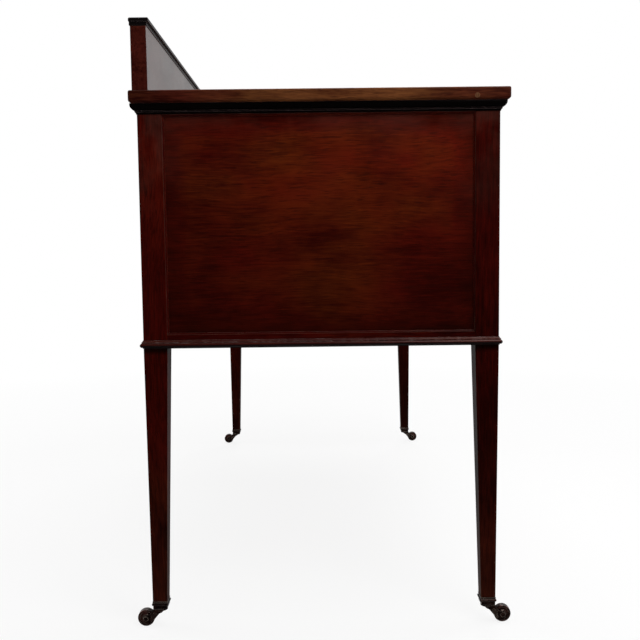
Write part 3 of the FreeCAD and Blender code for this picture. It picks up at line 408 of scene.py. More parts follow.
class Ground:
    """A material's nodes with the point and the face that it is at."""

    def __init__(self, nodes: Nodes, offset: Triple | None = None) -> None:
        """Adds what the patterns are read from.

        Args:
            nodes: the material's nodes.
            offset: how far the patterns are moved from those of other logs.
        """
        coordinates = nodes.add("ShaderNodeTexCoord").outputs
        self.nodes = nodes
        self.here, self.normal = coordinates["Object"], coordinates["Normal"]
        self.place = nodes.vector("ADD", self.here, offset) if offset else self.here

    @cached_property
    def level(self) -> Socket:
        """The point's height."""
        return self.nodes.parts(self.here)["Z"]

    def run(self, grain: Grain) -> Socket:
        """The point, turned so that the grain runs along its last part.

        Args:
            grain: the way the grain runs.

        Returns:
            The turned point.
        """
        if grain is not Grain.ALONG_THE_RUN:
            return self.swapped(grain)
        facing = self.nodes.parts(self.normal)
        endwise = self.nodes.sum("GREATER_THAN", self.nodes.sum("ABSOLUTE", facing["X"]),
                                 self.nodes.sum("ABSOLUTE", facing["Y"]))
        return self.nodes.mix("Vector", endwise, self.swapped(Grain.LENGTHWAYS),
                              self.swapped(Grain.FRONT_TO_BACK))

    def swapped(self, grain: Grain) -> Socket:
        """The point with its three parts in the grain's order."""
        x, y, z = (self.nodes.parts(self.place)[word] for word in grain.value)
        return self.nodes.add("ShaderNodeCombineXYZ", {0: x, 1: y, 2: z}).outputs[0]

    def inside(self, node: str, lie: Lie) -> Socket:
        """How far the point lies inside the nearest edge of a board.

        Args:
            node: the board's node in the frame.
            lie: which of its edges count.

        Returns:
            The distance.
        """
        low, high = (Vector(corner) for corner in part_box(node))
        half = (high - low) / 2
        centred = self.nodes.vector("SUBTRACT", self.here, tuple((low + high) / 2))
        parts = self.nodes.parts(self.nodes.vector("ABSOLUTE", centred))
        first, second = (self.nodes.sum("SUBTRACT", half[axis], parts[axis]) for axis in lie.value)
        return self.nodes.sum("MINIMUM", first, second)


def start_material(name: str, gloss: dict[str, object]) -> tuple[Material, Nodes, Node]:
    """Starts a material.

    Args:
        name: its name.
        gloss: plain values for the shader's sockets.

    Returns:
        The material, its nodes and its shader.
    """
    material = bpy.data.materials.new(name)
    material.use_nodes = True
    material.node_tree.nodes.clear()
    nodes = Nodes(material.node_tree)
    shader = nodes.add("ShaderNodeBsdfPrincipled", gloss)
    nodes.add("ShaderNodeOutputMaterial", {"Surface": shader.outputs[0]})
    return material, nodes, shader


# What lies on the wood, and the painted shade and sheen on it

@dataclass(frozen=True)
class ShadowBand:
    """Painted shadow: the wood darkened in a band round one height, as under a moulding."""

    dark_reach: float = 4 * MM
    clear_reach: float = 10 * MM
    share: float = 0.18

    def depth(self, ground: Ground, height: float) -> Socket:
        """How light the wood is left by the painted shadow.

        Args:
            ground: what the patterns are read at.
            height: the band's height.

        Returns:
            The share of light, 1 away from the band.
        """
        away = ground.nodes.sum("ABSOLUTE", ground.nodes.sum("SUBTRACT", ground.level, height))
        return ground.nodes.spread(away, self.dark_reach, self.clear_reach, self.share, 1.0)


@dataclass(frozen=True)
class FootGrime:
    """Grime that greys the wood towards the floor."""

    head: float = 0.30
    foot: float = 0.04
    tint: Triple = (1.05, 3.6, 3.2)

    def over(self, ground: Ground, colour: Socket, amount: float) -> Socket:
        """The colour with this grime on it."""
        low = ground.nodes.spread(ground.level, self.head, self.foot, 0.0, amount)
        return ground.nodes.blend(low, colour, ground.nodes.stretched(colour, self.tint))


@dataclass(frozen=True)
class PaintedSheen:
    """Painted sheen: a pale colour in patches near the head of a board, where light from above
    glances off it.
    """

    patches: Patches = Patches(Pattern(even(14.0), 4.0, 0.6), 0.36, 0.62)
    foot: float = 0.58
    head: float = 0.72
    colour: Colour = (0.070, 0.026, 0.019)

    def over(self, ground: Ground, colour: Socket, amount: object, depth: float) -> Socket:
        """The colour with this painted sheen on it.

        Args:
            ground: what the patterns are read at.
            colour: the colour under it.
            amount: how much painted sheen there can be.
            depth: how light the board is.

        Returns:
            The colour with the painted sheen.
        """
        patchy = ground.nodes.product(self.patches.read(ground.nodes, ground.place),
                                      ground.nodes.spread(ground.level, self.foot, self.head))
        return ground.nodes.blend(ground.nodes.product(patchy, amount), colour,
                                  tuple(part * depth for part in self.colour))


@dataclass(frozen=True)
class FrontPolishAndShade:
    """A glossy coat on the faces that look to the front, with painted shade that darkens those
    faces' colour.
    """

    facing: Range = (-0.6, -0.3)
    haze: Patches = Patches(Pattern((9.0, 30.0, 16.0), 3.0, 0.6), 0.36, 0.60)
    least: float = 0.88
    # The colour of the painted shade on the front faces.
    colour: Colour = (0.010, 0.0012, 0.0010)

    def cover(self, ground: Ground, amount: float) -> Socket:
        """How much of the coat there is.

        Args:
            ground: what the patterns are read at.
            amount: the most there can be.

        Returns:
            The coat's weight.
        """
        nodes, haze = ground.nodes, self.haze.read(ground.nodes, ground.place, self.least)
        looks_back = nodes.parts(ground.normal)["Y"]
        return nodes.product(nodes.spread(looks_back, *self.facing, amount, 0.0), haze)


SHADOW_BAND, GRIME, PAINTED_SHEEN, FRONT_POLISH_AND_SHADE = ShadowBand(), FootGrime(), PaintedSheen(), FrontPolishAndShade()


# Finishes

@dataclass(frozen=True)
class WoodFinish:
    """A polished wood."""

    name: str
    dark: Colour
    light: Colour
    pore: Colour
    worn: Colour
    sheen_tint: Colour = (1.0, 0.45, 0.25)
    fineness: float = 1.0
    figure: float = 0.15
    pores: float = 0.6
    roughness: float = 0.34
    figure_roughness: float = 0.22
    dust_roughness: float = 0.5
    coat_roughness: float = 0.16
    reflection: float = 0.05
    edge_radius: float = 1.2 * MM
    rubbed: float = 0.55
    rubbed_cover: float = 0.0
    # Height under which the edge colour is left out, so a moulding's lowest arris gets no painted
    # highlight line.
    edge_lines_above: float = 0.0
    edge_lines_fade: float = 0.5 * MM
    dust: float = 0.15
    dust_colour: Colour = (0.10, 0.085, 0.07)
    polish: float = 0.0
    # Painted shade on the front faces, under the coat.
    front_shade: float = 0.0
    # Painted shade: the colour darkens from the head level down to the foot level, to the foot's
    # share of light.
    painted_foot_light: float = 0.62
    foot_level: float = 0.40
    head_level: float = 0.74
    # Painted shade along a board's edges: the share of light at the edge, and how far in it
    # reaches.
    edge_shade: float = 0.55
    edge_shade_from: float = 0.020
    edge_shade_to: float = 0.055
    # Height of a band of painted shadow, as under a moulding; 0 for none.
    shadow_under: float = 0.0
    ragged: Pattern = Pattern(even(28.0), 4.0, 0.6)
    ragged_reach: float = 30 * MM
    foot_grime: float = 0.0
    shift: float = 1.0
    # Painted sheen near the head of a board, and its share in the middle of a panel.
    painted_sheen: float = 0.0
    middle_sheen: float = 0.15
    relief: float = 0.35
    relief_height: float = 0.12 * MM
    log_offset: Triple = (1.7, 2.3, 3.1)

    def material(self, grain: Grain, seed: int = 0, depth: float = 1.0,
                 board: tuple[str, Lie] | None = None) -> Material:
        """This wood cut for one board.

        Args:
            grain: the way its grain runs.
            seed: tells boards from different logs apart.
            depth: how light this board is painted against the others, as painted light and shade.
            board: the node and lie of a board whose edges get painted shade.

        Returns:
            The material.
        """
        gloss = {"Specular IOR Level": self.reflection, "Specular Tint": self.sheen_tint,
                 "Coat Roughness": self.coat_roughness}
        material, nodes, shader = start_material(f"{self.name}_{grain.name.lower()}_{seed}", gloss)
        ground = Ground(nodes, tuple(seed * step for step in self.log_offset))
        shaded, sheen_reach = self.painted_shade(ground, depth, board)
        wood = shared(nodes, "wood", {
            "Vector": ground.run(grain), "Dark": self.dark, "Light": self.light, "Pore": self.pore,
            "Depth": shaded, "Shift": self.shift, "Fineness": self.fineness, "Figure": self.figure,
            "Pores": self.pores})
        dust = shared(nodes, "dust", {"Vector": ground.place, "Amount": self.dust}).outputs["Dust"]
        # The worn edge colour: wear, and on the mouldings painted highlight lines.
        colour = nodes.blend(self.wear(ground), wood.outputs["Color"], self.worn)
        if self.foot_grime:
            colour = GRIME.over(ground, colour, self.foot_grime)
        # Painted sheen near the head of the board.
        if self.painted_sheen:
            colour = PAINTED_SHEEN.over(ground, colour, nodes.product(sheen_reach, self.painted_sheen), depth)
        colour = nodes.blend(dust, colour, self.dust_colour)
        dull = nodes.sum("MULTIPLY_ADD", wood.outputs["Dullness"], self.figure_roughness,
                         self.roughness)
        dull = nodes.sum("MULTIPLY_ADD", dust, self.dust_roughness, dull, clamp=True)
        if self.polish:
            front = FRONT_POLISH_AND_SHADE.cover(ground, self.polish)
            nodes.feed(shader.inputs["Coat Weight"], front)
            # Painted shade: the front faces' colour darkened under the coat.
            colour = nodes.blend(nodes.product(front, self.front_shade), colour, FRONT_POLISH_AND_SHADE.colour)
        nodes.feed(shader.inputs["Base Color"], colour)
        nodes.feed(shader.inputs["Roughness"], dull)
        nodes.feed(shader.inputs["Normal"],
                   nodes.relief(wood.outputs["Height"], self.relief, self.relief_height))
        return material

    def painted_shade(self, ground: Ground, depth: float,
             board: tuple[str, Lie] | None) -> tuple[Socket, Socket | float]:
        """How light the wood is painted over the board: painted shade towards the floor, under a
        moulding and along its edges.

        Args:
            ground: what the patterns are read at.
            depth: how light the board is painted at its head.
            board: the node and lie of a board whose edges get painted shade.

        Returns:
            How light it is, and how much painted sheen it can show.
        """
        nodes = ground.nodes
        # Painted shade, darker towards the floor.
        shaded = nodes.spread(ground.level, self.foot_level, self.head_level,
                             self.painted_foot_light * depth, depth)
        # Painted shadow in a band under a moulding.
        if self.shadow_under:
            shaded = nodes.product(shaded, SHADOW_BAND.depth(ground, self.shadow_under))
        if not board:
            return shaded, 1.0
        # Painted shade along the board's edges, ragged by a noise.
        ragged = nodes.product(self.ragged.read(nodes, ground.place), self.ragged_reach)
        inside = nodes.sum("ADD", ground.inside(*board), ragged)
        unshaded = nodes.spread(inside, self.edge_shade_from, self.edge_shade_to, self.edge_shade, 1.0)
        sheen_reach = nodes.spread(unshaded, self.edge_shade, 1.0, 1.0, self.middle_sheen)
        return nodes.product(shaded, unshaded), sheen_reach

    def wear(self, ground: Ground) -> Socket:
        """How much of the edge colour shows: rubbed edges, and on the mouldings painted highlight
        lines.

        Args:
            ground: what the patterns are read at.

        Returns:
            The edge colour's share.
        """
        edges = shared(ground.nodes, "edges", {"Vector": ground.place, "Radius": self.edge_radius,
                                               "Amount": self.rubbed, "Cover": self.rubbed_cover})
        rubbed = edges.outputs["Rubbed"]
        if self.edge_lines_above:
            clear = ground.nodes.spread(ground.level, self.edge_lines_above,
                                        self.edge_lines_above + self.edge_lines_fade)
            rubbed = ground.nodes.product(rubbed, clear)
        return rubbed


@dataclass(frozen=True)
class MetalFinish:
    """A cast brass with its patina."""

    name: str
    bright: Colour
    patina: Colour
    grime: Colour
    worn: Colour
    roughness: float = 0.26
    patina_roughness: float = 0.14
    reflection: float = 0.5
    covered: float = 0.9
    dust: float = 0.2
    dust_colour: Colour = (0.13, 0.11, 0.10)
    clouds: Pattern = Pattern(even(120.0), 4.0, 0.55)
    cloud_weight: float = 0.7
    specks: Pattern = Pattern(even(700.0), 3.0, 0.6)
    speck_weight: float = 0.3
    patina_tones: Range = (0.30, 0.56)
    grime_specks: Range = (0.55, 0.75)
    earthy_specks: Range = (0.60, 0.74)
    earthy: float = 0.55
    edge_radius: float = 1.1 * MM
    edge_cover: float = 0.35
    rubbed: float = 0.9
    relief: float = 0.3
    relief_height: float = 0.1 * MM

    def material(self) -> Material:
        """This metal as a material.

        Returns:
            The material.
        """
        material, nodes, shader = start_material(self.name, {"Specular IOR Level": self.reflection})
        place = Ground(nodes).place
        specks = self.specks.read(nodes, place)
        tone = nodes.sum("MULTIPLY_ADD", self.clouds.read(nodes, place), self.cloud_weight,
                         nodes.product(specks, self.speck_weight))
        patina = nodes.spread(tone, *self.patina_tones, 1.0 - self.covered, 1.0)
        edges = shared(nodes, "edges", {"Vector": place, "Radius": self.edge_radius,
                                        "Cover": self.edge_cover, "Amount": self.rubbed})
        dust = shared(nodes, "dust", {"Vector": place, "Amount": self.dust}).outputs["Dust"]
        colour = nodes.blend(patina, self.bright, self.patina)
        colour = nodes.blend(nodes.spread(specks, *self.grime_specks), colour, self.grime)
        colour = nodes.blend(edges.outputs["Rubbed"], colour, self.worn)
        bare = nodes.spread(specks, *self.earthy_specks, 1.0, self.earthy)
        bare = nodes.sum("SUBTRACT", bare, dust, clamp=True)
        nodes.feed(shader.inputs["Base Color"], nodes.blend(dust, colour, self.dust_colour))
        nodes.feed(shader.inputs["Metallic"], bare)
        nodes.feed(shader.inputs["Roughness"],
                   nodes.sum("MULTIPLY_ADD", patina, self.patina_roughness, self.roughness))
        nodes.feed(shader.inputs["Normal"], nodes.relief(tone, self.relief, self.relief_height))
        return material


@dataclass(frozen=True)
class LeatherFinish:
    """A worn skiver with gilt lines near its edge."""

    name: str
    hide: Colour
    rubbed: Colour
    gilt: Colour
    reflection: float = 0.3
    line_inset: float = 22 * MM
    line_width: float = 2.2 * MM
    second_inset: float = 27 * MM
    second_share: float = 1 / 3
    line_edge: Range = (0.55, 0.4)
    line_height: float = 2.0
    line_gloss: float = 0.15
    wear: Patches = Patches(Pattern(even(130.0), 4.0, 0.7), 0.34, 0.52)
    clouds: Pattern = Pattern(even(11.0), 4.0, 0.6)
    rubbed_clouds: Range = (0.38, 0.70)
    dull_clouds: Range = (0.3, 0.7)
    roughnesses: Range = (0.62, 0.42)
    cell_rate: float = 900.0
    creases: Range = (0.12, 0.0)
    cell_rise: Range = (0.0, 0.25)
    relief: float = 0.5
    relief_height: float = 0.15 * MM

    def material(self, node: str) -> Material:
        """This leather, laid out for a node of the frame.

        Args:
            node: the leather's node.

        Returns:
            The material.
        """
        material, nodes, shader = start_material(self.name, {"Specular IOR Level": self.reflection})
        ground = Ground(nodes)
        place = ground.place
        line = nodes.product(self.lines(ground, node), self.wear.read(nodes, place))
        cloud = self.clouds.read(nodes, place)
        cells = nodes.add("ShaderNodeTexVoronoi", {
            "Vector": nodes.stretched(place, even(self.cell_rate)), "Scale": 1.0,
        }, feature="DISTANCE_TO_EDGE").outputs["Distance"]
        hide = nodes.blend(nodes.spread(cloud, *self.rubbed_clouds), self.hide, self.rubbed)
        hide = nodes.blend(nodes.spread(cells, *self.creases), hide, self.hide)
        dull = nodes.sum("SUBTRACT", nodes.spread(cloud, *self.dull_clouds, *self.roughnesses),
                         nodes.product(line, self.line_gloss))
        height = nodes.sum("SUBTRACT", nodes.spread(cells, *self.cell_rise),
                           nodes.product(line, self.line_height))
        nodes.feed(shader.inputs["Base Color"], nodes.blend(line, hide, self.gilt))
        nodes.feed(shader.inputs["Metallic"], line)
        nodes.feed(shader.inputs["Roughness"], dull)
        nodes.feed(shader.inputs["Normal"], nodes.relief(height, self.relief, self.relief_height))
        return material

    def lines(self, ground: Ground, node: str) -> Socket:
        """Where the gilt lines run.

        Args:
            ground: what the patterns are read at.
            node: the leather's node.

        Returns:
            1 on the lines, else 0.
        """
        nodes, inside = ground.nodes, ground.inside(node, Lie.FLAT)
        lines = []
        for inset, width in ((self.line_inset, self.line_width),
                             (self.second_inset, self.line_width * self.second_share)):
            off = nodes.sum("ABSOLUTE", nodes.sum("SUBTRACT", inside, inset))
            lines.append(nodes.spread(off, *(width * share for share in self.line_edge)))
        return nodes.sum("MAXIMUM", *lines)


MAHOGANY = WoodFinish(
    "mahogany", dark=(0.020, 0.0004, 0.0004), light=(0.086, 0.0092, 0.0022),
    pore=(0.012, 0.0012, 0.0006), worn=(0.13, 0.028, 0.009), painted_sheen=0.30)
STILE_MAHOGANY = WoodFinish(
    "stile_mahogany", dark=(0.014, 0.0006, 0.0005), light=(0.080, 0.0052, 0.0024),
    pore=(0.010, 0.0010, 0.0006), worn=(0.11, 0.024, 0.010), reflection=0.02, foot_grime=1.0,
    painted_sheen=0.6, shift=0.45)
GALLERY_MAHOGANY = WoodFinish(
    "gallery_mahogany", dark=(0.016, 0.0010, 0.0008), light=(0.078, 0.0155, 0.0092),
    pore=(0.010, 0.0010, 0.0006), worn=(0.13, 0.045, 0.028), shift=0.4, rubbed=0.8,
    reflection=0.03, painted_foot_light=1.0, polish=1.0, front_shade=0.6)
BEAD_MAHOGANY = WoodFinish(
    "bead_mahogany", dark=(0.024, 0.0010, 0.0006), light=(0.066, 0.0050, 0.0020),
    pore=(0.010, 0.0010, 0.0006), worn=(0.21, 0.12, 0.09), sheen_tint=(1.0, 0.85, 0.82),
    roughness=0.2, reflection=0.03, rubbed=0.6, rubbed_cover=0.35)
# The base moulding: painted shade darkens it below its nose, and its pale worn colour paints a
# highlight line on the nose, partly wear.
MOULDING_MAHOGANY = replace(
    BEAD_MAHOGANY, name="moulding_mahogany", light=(0.044, 0.0044, 0.0022),
    worn=(0.25, 0.195, 0.185), reflection=0.09, rubbed=0.78, rubbed_cover=0.2, painted_foot_light=0.08)
# The top's end is painted darker towards its front and back edges, as painted shade.
TOP_MAHOGANY = WoodFinish(
    "top_mahogany", dark=(0.016, 0.0012, 0.0010), light=(0.112, 0.029, 0.0120),
    pore=(0.014, 0.003, 0.0015), worn=(0.15, 0.055, 0.025), roughness=0.30, fineness=1.4,
    shift=0.7, edge_shade=0.74, edge_shade_from=0.015, edge_shade_to=0.20)
PELLET = WoodFinish(
    "pellet", dark=(0.030, 0.010, 0.005), light=(0.100, 0.044, 0.020), pore=(0.020, 0.008, 0.004),
    worn=(0.19, 0.10, 0.05), rubbed_cover=0.9, rubbed=1.0, painted_foot_light=1.0, shift=0.0)
# The cornice: its pale worn edge colour is partly wear and partly painted highlight lines.
EBONISED = WoodFinish(
    "ebonised", dark=(0.0004, 0.0002, 0.0002), light=(0.0009, 0.0006, 0.0005),
    pore=(0.0003, 0.0003, 0.0003), worn=(0.16, 0.11, 0.11), sheen_tint=(1.0, 0.8, 0.8),
    roughness=0.2, reflection=0.018, rubbed=0.9, rubbed_cover=0.6, dust=0.5, painted_foot_light=1.0,
    shift=0.0)
# The gallery cap: its pale worn edge lines are partly wear and partly painted highlight.
EBONISED_CAP = replace(
    EBONISED, name="ebonised_cap", worn=(0.24, 0.19, 0.18), rubbed=0.8, rubbed_cover=0.4,
    reflection=0.07, dust=0.12)
OAK = WoodFinish(
    "lining_oak", dark=(0.25, 0.145, 0.065), light=(0.40, 0.25, 0.12), pore=(0.12, 0.065, 0.03),
    worn=(0.45, 0.32, 0.18), sheen_tint=(1.0, 0.9, 0.75), fineness=1.3, figure=0.3, pores=0.6,
    roughness=0.58, reflection=0.3, rubbed=0.3, dust=0.3, shift=0.0)
CASTOR_BRASS = MetalFinish(
    "castor_brass", bright=(0.034, 0.016, 0.012), patina=(0.004, 0.0018, 0.0016),
    grime=(0.0016, 0.0008, 0.0008), worn=(0.52, 0.42, 0.35), dust=0.2, roughness=0.2)
WHEEL_BRASS = MetalFinish(
    "wheel_brass", bright=(0.085, 0.030, 0.024), patina=(0.010, 0.003, 0.0026),
    grime=(0.003, 0.0016, 0.0016), worn=(0.50, 0.40, 0.33), dust=0.8, roughness=0.2)
HANDLE_BRASS = MetalFinish(
    "handle_brass", bright=(0.62, 0.43, 0.17), patina=(0.30, 0.20, 0.08),
    grime=(0.04, 0.025, 0.012), worn=(0.72, 0.54, 0.25), roughness=0.2, covered=0.6)
LEATHER = LeatherFinish(
    "red_skiver", hide=(0.052, 0.010, 0.008), rubbed=(0.105, 0.029, 0.022), gilt=(0.55, 0.38, 0.14))


# The table's sub-assemblies

def dress(node: str, material: Material) -> None:
    """Gives every slot of a node of the frame the same material."""
    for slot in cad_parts[node].material_slots:
        slot.material = material


def add_object(name: str, data: bpy.types.ID) -> Object:
    """Adds an object to the scene.

    Args:
        name: its name.
        data: its mesh, lamp or camera.

    Returns:
        The object.
    """
    thing = bpy.data.objects.new(name, data)
    bpy.context.scene.collection.objects.link(thing)
    return thing


def finish_piece(shape: bmesh.types.BMesh, name: str, material: Material, body: str) -> Object:
    """Makes an object of a finished shape.

    Args:
        shape: the shape, which is freed.
        name: the object's name.
        material: its finish.
        body: the body it rides on.

    Returns:
        The object.
    """
    bmesh.ops.recalc_face_normals(shape, faces=shape.faces)
    mesh = bpy.data.meshes.new(name)
    shape.to_mesh(mesh)
    shape.free()
    mesh.shade_smooth()
    mesh.materials.append(material)
    piece = add_object(name, mesh)
    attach(piece, body)
    return piece


CORNERS = ("front_left", "front_right", "back_left", "back_right")
DRAWERS = ("centre_drawer", "left_top_drawer", "left_low_drawer", "right_top_drawer",
           "right_low_drawer")


@dataclass(frozen=True)
class Board:
    """A wooden node with the way it is cut, and the seed that tells its log from others."""

    node: str
    finish: WoodFinish
    grain: Grain
    seed: int
    lie: Lie | None = None

    def dress(self) -> None:
        """Gives the node its own cut of wood."""
        board = (self.node, self.lie) if self.lie else None
        dress(self.node, self.finish.material(self.grain, self.seed, board=board))


@dataclass(frozen=True)
class LegTone:
    """How light a leg is painted at its head, and at its foot against its head: painted light and
    shade for how each leg is lit.
    """

    depth: float
    painted_foot_light: float


@dataclass
class Carcass:
    """The legs, ends, back, kneehole sides and rails."""

    # Painted light and shade for each leg: the front legs are painted darker.
    legs: dict[str, LegTone] = field(default_factory=lambda: {
        "front_left": LegTone(0.50, 1.12), "back_left": LegTone(1.05, 0.58),
        "front_right": LegTone(0.40, 0.62), "back_right": LegTone(1.0, 0.68)})
    kneehole_seed: int = 2
    moulding_seed: int = 8
    boards: tuple[Board, ...] = (
        Board("back_panels", MAHOGANY, Grain.LENGTHWAYS, 4),
        Board("back_rails", STILE_MAHOGANY, Grain.LENGTHWAYS, 5),
        Board("front_rails", STILE_MAHOGANY, Grain.LENGTHWAYS, 6),
        Board("panel_beads", BEAD_MAHOGANY, Grain.ALONG_THE_RUN, 7),
        Board("pedestal_bottoms", OAK, Grain.LENGTHWAYS, 1),
        Board("drawer_runners", OAK, Grain.FRONT_TO_BACK, 2))
    # Painted shade on the base moulding's underside, from its foot up to its nose.
    shaded_foot: float = 4.2 * MM
    lit_nose: float = 5.4 * MM

    def dress(self) -> None:
        """Gives each board its own cut of wood."""
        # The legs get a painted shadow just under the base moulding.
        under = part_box("base_mouldings")[0][2]
        for seed, (corner, tone) in enumerate(self.legs.items()):
            finish = replace(STILE_MAHOGANY, painted_foot_light=tone.painted_foot_light, shadow_under=under)
            dress(f"leg_{corner}", finish.material(Grain.UPRIGHT, seed, tone.depth))
        for seed, hand in enumerate(("left", "right")):
            for board in (
                    Board(f"side_panel_{hand}", MAHOGANY, Grain.FRONT_TO_BACK, seed, Lie.ENDWISE),
                    Board(f"side_rails_{hand}", STILE_MAHOGANY, Grain.FRONT_TO_BACK, seed),
                    Board(f"kneehole_side_{hand}", MAHOGANY, Grain.FRONT_TO_BACK,
                          self.kneehole_seed + seed)):
                board.dress()
        # The moulding is painted dark below its nose as painted shade; its pale edge colour starts
        # above the shaded foot.
        moulding = replace(MOULDING_MAHOGANY, foot_level=under + self.shaded_foot,
                           head_level=under + self.lit_nose, edge_lines_above=under + self.shaded_foot)
        dress("base_mouldings", moulding.material(Grain.ALONG_THE_RUN, self.moulding_seed))
        for board in self.boards:
            board.dress()


@dataclass
class Top:
    """The top board with its leather, its moulding and the gallery."""

    board: Board = Board("top_board", TOP_MAHOGANY, Grain.ALONG_THE_RUN, 21, Lie.ACROSS)
    gallery: tuple[Board, ...] = (
        Board("gallery_board", GALLERY_MAHOGANY, Grain.LENGTHWAYS, 9),
        Board("gallery_cap", EBONISED_CAP, Grain.ALONG_THE_RUN, 1))
    pellet_centre: Triple = (-0.610, -0.216, 0.750)
    pellet_radius: float = 3.4 * MM
    pellet_round: float = 0.25 * MM
    pellet_stand: float = 0.35 * MM
    pellet_sides: int = 32
    round_steps: int = 3
    cornice_foot: float = 1.4 * MM

    def build_pellet(self) -> Object:
        """Makes the wooden pellet over the screw in the board's left end.

        Returns:
            The pellet.
        """
        pellet = bmesh.new()
        turn = Matrix.Translation(self.pellet_centre) @ Matrix.Rotation(QUARTER_TURN, 4, "Y")
        bmesh.ops.create_cone(pellet, cap_ends=True, segments=self.pellet_sides,
                              radius1=self.pellet_radius, radius2=self.pellet_radius,
                              depth=2 * self.pellet_stand, matrix=turn)
        rims = [edge for edge in pellet.edges
                if len(edge.link_faces[0].verts) != len(edge.link_faces[1].verts)]
        bmesh.ops.bevel(pellet, geom=rims, offset=self.pellet_round, segments=self.round_steps,
                        profile=0.5, material=-1, affect="EDGES")
        wood = PELLET.material(Grain.UPRIGHT)
        return finish_piece(pellet, "end_pellet", wood, "carcass")

    def dress(self) -> None:
        """Gives the board, the leather, the moulding and the gallery their finishes."""
        LOG.info("added: %s", self.build_pellet().name)
        self.board.dress()
        dress("writing_leather", LEATHER.material("writing_leather"))
        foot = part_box("top_moulding")[0][2]
        # The cornice's pale edge lines, partly painted highlight, are left out at its lowest arris.
        cornice = replace(EBONISED, edge_lines_above=foot + self.cornice_foot)
        dress("top_moulding", cornice.material(Grain.ALONG_THE_RUN))
        for board in self.gallery:
            board.dress()


@dataclass
class Drawers:
    """The five drawers with their fittings and handles."""

    front_seed: int = 10
    box_seed: int = 3
    bottom_seed: int = 8

    def dress(self) -> None:
        """Gives the fronts, the linings and the brass their finishes."""
        brass = HANDLE_BRASS.material()
        for count, drawer in enumerate(DRAWERS):
            for board in (
                    Board(f"{drawer}_front", MAHOGANY, Grain.LENGTHWAYS, self.front_seed + count),
                    Board(f"{drawer}_box", OAK, Grain.ALONG_THE_RUN, self.box_seed + count),
                    Board(f"{drawer}_bottom", OAK, Grain.LENGTHWAYS, self.bottom_seed + count)):
                board.dress()
            dress(f"{drawer}_fittings", brass)
            for bail in (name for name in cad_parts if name.startswith(f"{drawer}_bail")):
                dress(bail, brass)


@dataclass(frozen=True)
class Reed:
    """A reed on a castor's arm, with its head's place and its length in millimetres."""

    out: float
    level: float
    length: float


@dataclass
class Castors:
    """The four castors, with the reeds on their arms."""

    axis: tuple[float, float] = (584.3 * MM, 237.3 * MM)
    cheek: float = 8.3 * MM
    reed_radius: float = 0.55 * MM
    reed_sides: int = 12
    reed_rings: int = 16
    reeds: tuple[Reed, ...] = (Reed(4.2, 19.8, 17.0), Reed(5.9, 20.6, 15.0), Reed(7.6, 21.2, 11.5),
                               Reed(9.3, 21.6, 8.0))
    reed_fall: tuple[float, float] = (0.642, -0.767)

    def build_reeds(self, corner: str, brass: Material) -> Object:
        """Makes the reeds on both cheeks of one castor's arm.

        Args:
            corner: the castor's corner of the table.
            brass: their finish.

        Returns:
            The reeds, as one piece.
        """
        outward = -1.0 if corner.startswith("front") else 1.0
        hand = -1.0 if corner.endswith("left") else 1.0
        centre = Vector((hand * self.axis[0], outward * self.axis[1], 0.0))
        along = Vector((0.0, outward * self.reed_fall[0], self.reed_fall[1]))
        turn = along.to_track_quat("Z", "X").to_matrix().to_4x4()
        reeds = bmesh.new()
        for cheek in (-self.cheek, self.cheek):
            for reed in self.reeds:
                length = reed.length * MM
                head = Vector((cheek, outward * reed.out * MM, reed.level * MM))
                place = Matrix.Translation(centre + head + along * length / 2)
                slender = Matrix.Diagonal((1.0, 1.0, length / 2 / self.reed_radius, 1.0))
                bmesh.ops.create_uvsphere(reeds, u_segments=self.reed_sides,
                                          v_segments=self.reed_rings, radius=self.reed_radius,
                                          matrix=place @ turn @ slender)
        return finish_piece(reeds, f"castor_reeds_{corner}", brass, f"castor_{corner}")

    def dress(self) -> None:
        """Gives the cups, horns and wheels their patina, and adds the reeds."""
        brass, wheel_brass = CASTOR_BRASS.material(), WHEEL_BRASS.material()
        for corner in CORNERS:
            dress(f"castor_cup_{corner}", brass)
            dress(f"castor_horn_{corner}", brass)
            dress(f"castor_wheel_{corner}", wheel_brass)
            LOG.info("added: %s", self.build_reeds(corner, brass).name)


# The studio

@dataclass(frozen=True)
class Lamp:
    """A soft area lamp that looks at a point."""

    name: str
    place: Triple
    watts: float
    aim: Triple = (0.0, 0.0, 0.5)
    size: float = 1.6

    def build(self) -> None:
        """Adds the lamp to the scene."""
        data = bpy.data.lights.new(self.name, "AREA")
        data.shape = "SQUARE"
        data.size = self.size
        data.energy = self.watts
        lamp = add_object(self.name, data)
        lamp.location = self.place
        sight = Vector(self.aim) - Vector(self.place)
        lamp.rotation_euler = sight.to_track_quat("-Z", "Y").to_euler()


